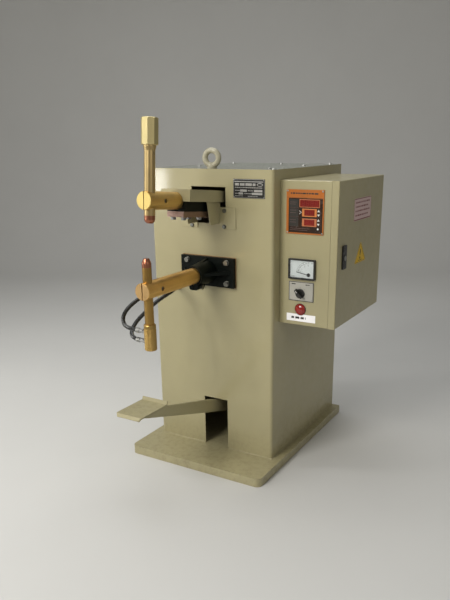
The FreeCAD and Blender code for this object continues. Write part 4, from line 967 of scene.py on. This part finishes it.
def socket_screw(name, centre, direction, up_, r, length, mat, body, head_r=None):
    """A hexagon socket cap screw: head with a real socket, axis along direction, centre at the head's outer face."""
    d = Vector(direction).normalized()
    u = Vector(up_).normalized()
    u = (u - d * u.dot(d)).normalized()
    v = d.cross(u)
    c = Vector(centre)
    n = 36
    out = [(r * 0.82, -0.0), (r, -r * 0.16), (r, -length)]
    vs, fs = [], []
    inner = [[], []]

    def ring(rad, depth):
        b_ = len(vs)
        for k in range(n):
            a = 2 * math.pi * k / n
            vs.append(c + (u * math.cos(a) + v * math.sin(a)) * rad + d * depth)
        return b_

    def hexring(rad, depth):
        b_ = len(vs)
        for k in range(n):
            a = 2 * math.pi * k / n
            f = (a + math.pi / 6) % (math.pi / 3) - math.pi / 6
            rr = rad * math.cos(math.pi / 6) / math.cos(f)
            vs.append(c + (u * math.cos(a) + v * math.sin(a)) * rr + d * depth)
        return b_

    rs = [hexring(r * 0.55, -r * 0.75), hexring(r * 0.55, 0.0)] + [ring(a, z) for a, z in out]
    for a, bq in zip(rs, rs[1:]):
        for k in range(n):
            k2 = (k + 1) % n
            fs.append((a + k, a + k2, bq + k2, bq + k))
    fs.append(tuple(rs[0] + k for k in range(n))[::-1])
    fs.append(tuple(rs[-1] + k for k in range(n)))
    return new_piece(name, vs, fs, [mat], body=body, smooth=30)


socket_screw("lower_clamp_screw", (0.0178, -0.3075, 0.705), (1, 0, 0), (0, 0, 1), 0.0066, 0.018, "steel_dark", HOME)
uy, uz = lev(-274.5, 0.0)
socket_screw("upper_clamp_screw", (0.0178, uy * MM, uz * MM), (1, 0, 0), (0, 0, 1), 0.0066, 0.018, "steel_dark", "upper_arm")

# ---------------------------------------------------------------- weld beads where the cabinet stands on its base


def bead(name, path, r, mat, body, seed):
    rg = random.Random(seed)
    vs, fs = [], []
    pts = []
    for (x0_, y0_, z0_), (x1_, y1_, z1_) in zip(path, path[1:]):
        a, c = Vector((x0_, y0_, z0_)), Vector((x1_, y1_, z1_))
        n = max(2, int((c - a).length / 0.0028))
        for i in range(n):
            pts.append(a.lerp(c, i / n))
    pts.append(Vector(path[-1]))
    ripple = [r * (1 + 0.16 * math.sin(i * 2.2) + rg.uniform(-0.10, 0.10)) for i in range(len(pts))]
    m = len(pts)
    v_, f_ = tube(pts, lambda t: ripple[min(m - 1, int(round(t * (m - 1))))], 10)
    return new_piece(name, v_, f_, [mat], body=body, smooth=60)


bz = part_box("base_plate")[1].z + 0.0003
cl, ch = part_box("cabinet_shell")
xa, xb, ya = cl.x - 0.0004, ch.x + 0.0004, cl.y - 0.0004
sx0, sx1 = -0.0415, 0.0615
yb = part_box("rear_panel")[1].y - 0.004
bead("base_weld_left", [(xa, yb, bz), (xa, ya, bz), (sx0, ya, bz)], 0.0026, "paint_base", HOME, 5)
bead("base_weld_right", [(sx1, ya, bz), (xb, ya, bz), (xb, yb, bz)], 0.0026, "paint_base", HOME, 6)

# ---------------------------------------------------------------- stage and light


def plain(name, col, rough=0.75):
    m = Mat(name).set(rough=rough)
    a = m.mix(m.ramp(m.noise(1.7, 5, 0.6), [(0.3, 0.0), (0.7, 1.0)]), tuple(c * 0.97 for c in col), col)
    m.link(a, m.b.inputs["Base Color"])
    return m.m


M["floor"] = plain("floor_pale", (0.62, 0.62, 0.60))
prof = [(-9.0, 0.0), (3.4, 0.0)] + [(3.4 + 1.6 * math.sin(a), 1.6 - 1.6 * math.cos(a)) for a in [math.pi / 2 * k / 14 for k in range(1, 15)]] + [(5.0, 7.0)]
vs = [(s * 9.0, y, z) for y, z in prof for s in (-1, 1)]
yaw = Matrix.Rotation(YAW, 4, "Z")
fs = [(2 * i, 2 * i + 1, 2 * i + 3, 2 * i + 2) for i in range(len(prof) - 1)]
me = bpy.data.meshes.new("floor")
me.from_pydata([tuple(yaw @ Vector(v)) for v in vs], [], fs)
me.materials.append(M["floor"])
for p in me.polygons:
    p.use_smooth = True
floor = bpy.data.objects.new("floor", me)
SCENE.collection.objects.link(floor)


def area(name, where, target, size, power, col=(1, 1, 1), size_y=None):
    d = bpy.data.lights.new(name, "AREA")
    d.energy = power
    d.color = col
    d.shape = "RECTANGLE"
    d.size = size
    d.size_y = size_y or size
    o = bpy.data.objects.new(name, d)
    SCENE.collection.objects.link(o)
    o.location = where
    o.rotation_mode = "QUATERNION"
    o.rotation_quaternion = (Vector(target) - Vector(where)).to_track_quat("-Z", "Y")
    return o


area("key", (-0.6, -2.8, 2.55), (0.0, 0.0, 0.72), 1.4, 80, (1.0, 0.975, 0.93))
area("fill", (3.4, -1.6, 2.1), (0.1, 0.2, 0.85), 1.8, 11, (1.0, 0.95, 0.88))
area("top", (-0.5, 0.6, 3.6), (0.0, 0.1, 0.9), 2.4, 46, (0.97, 0.985, 1.0))
area("left_strip", (-2.3, -1.2, 1.5), (0.0, -0.2, 0.9), 0.45, 17, (1.0, 0.98, 0.95), 2.2)
area("window", (-2.04, -2.39, 0.80), (-0.22, 0.0, 0.99), 0.16, 5.0, (1.0, 0.99, 0.97), 0.26)
world = bpy.data.worlds.new("world")
SCENE.world = world
world.use_nodes = True
bg = world.node_tree.nodes.get("Background")
bg.inputs[0].default_value = (0.82, 0.80, 0.76, 1.0)
bg.inputs[1].default_value = 0.26
SCENE.view_settings.view_transform = "Standard"
SCENE.view_settings.look = "None"
SCENE.view_settings.exposure = 0.0
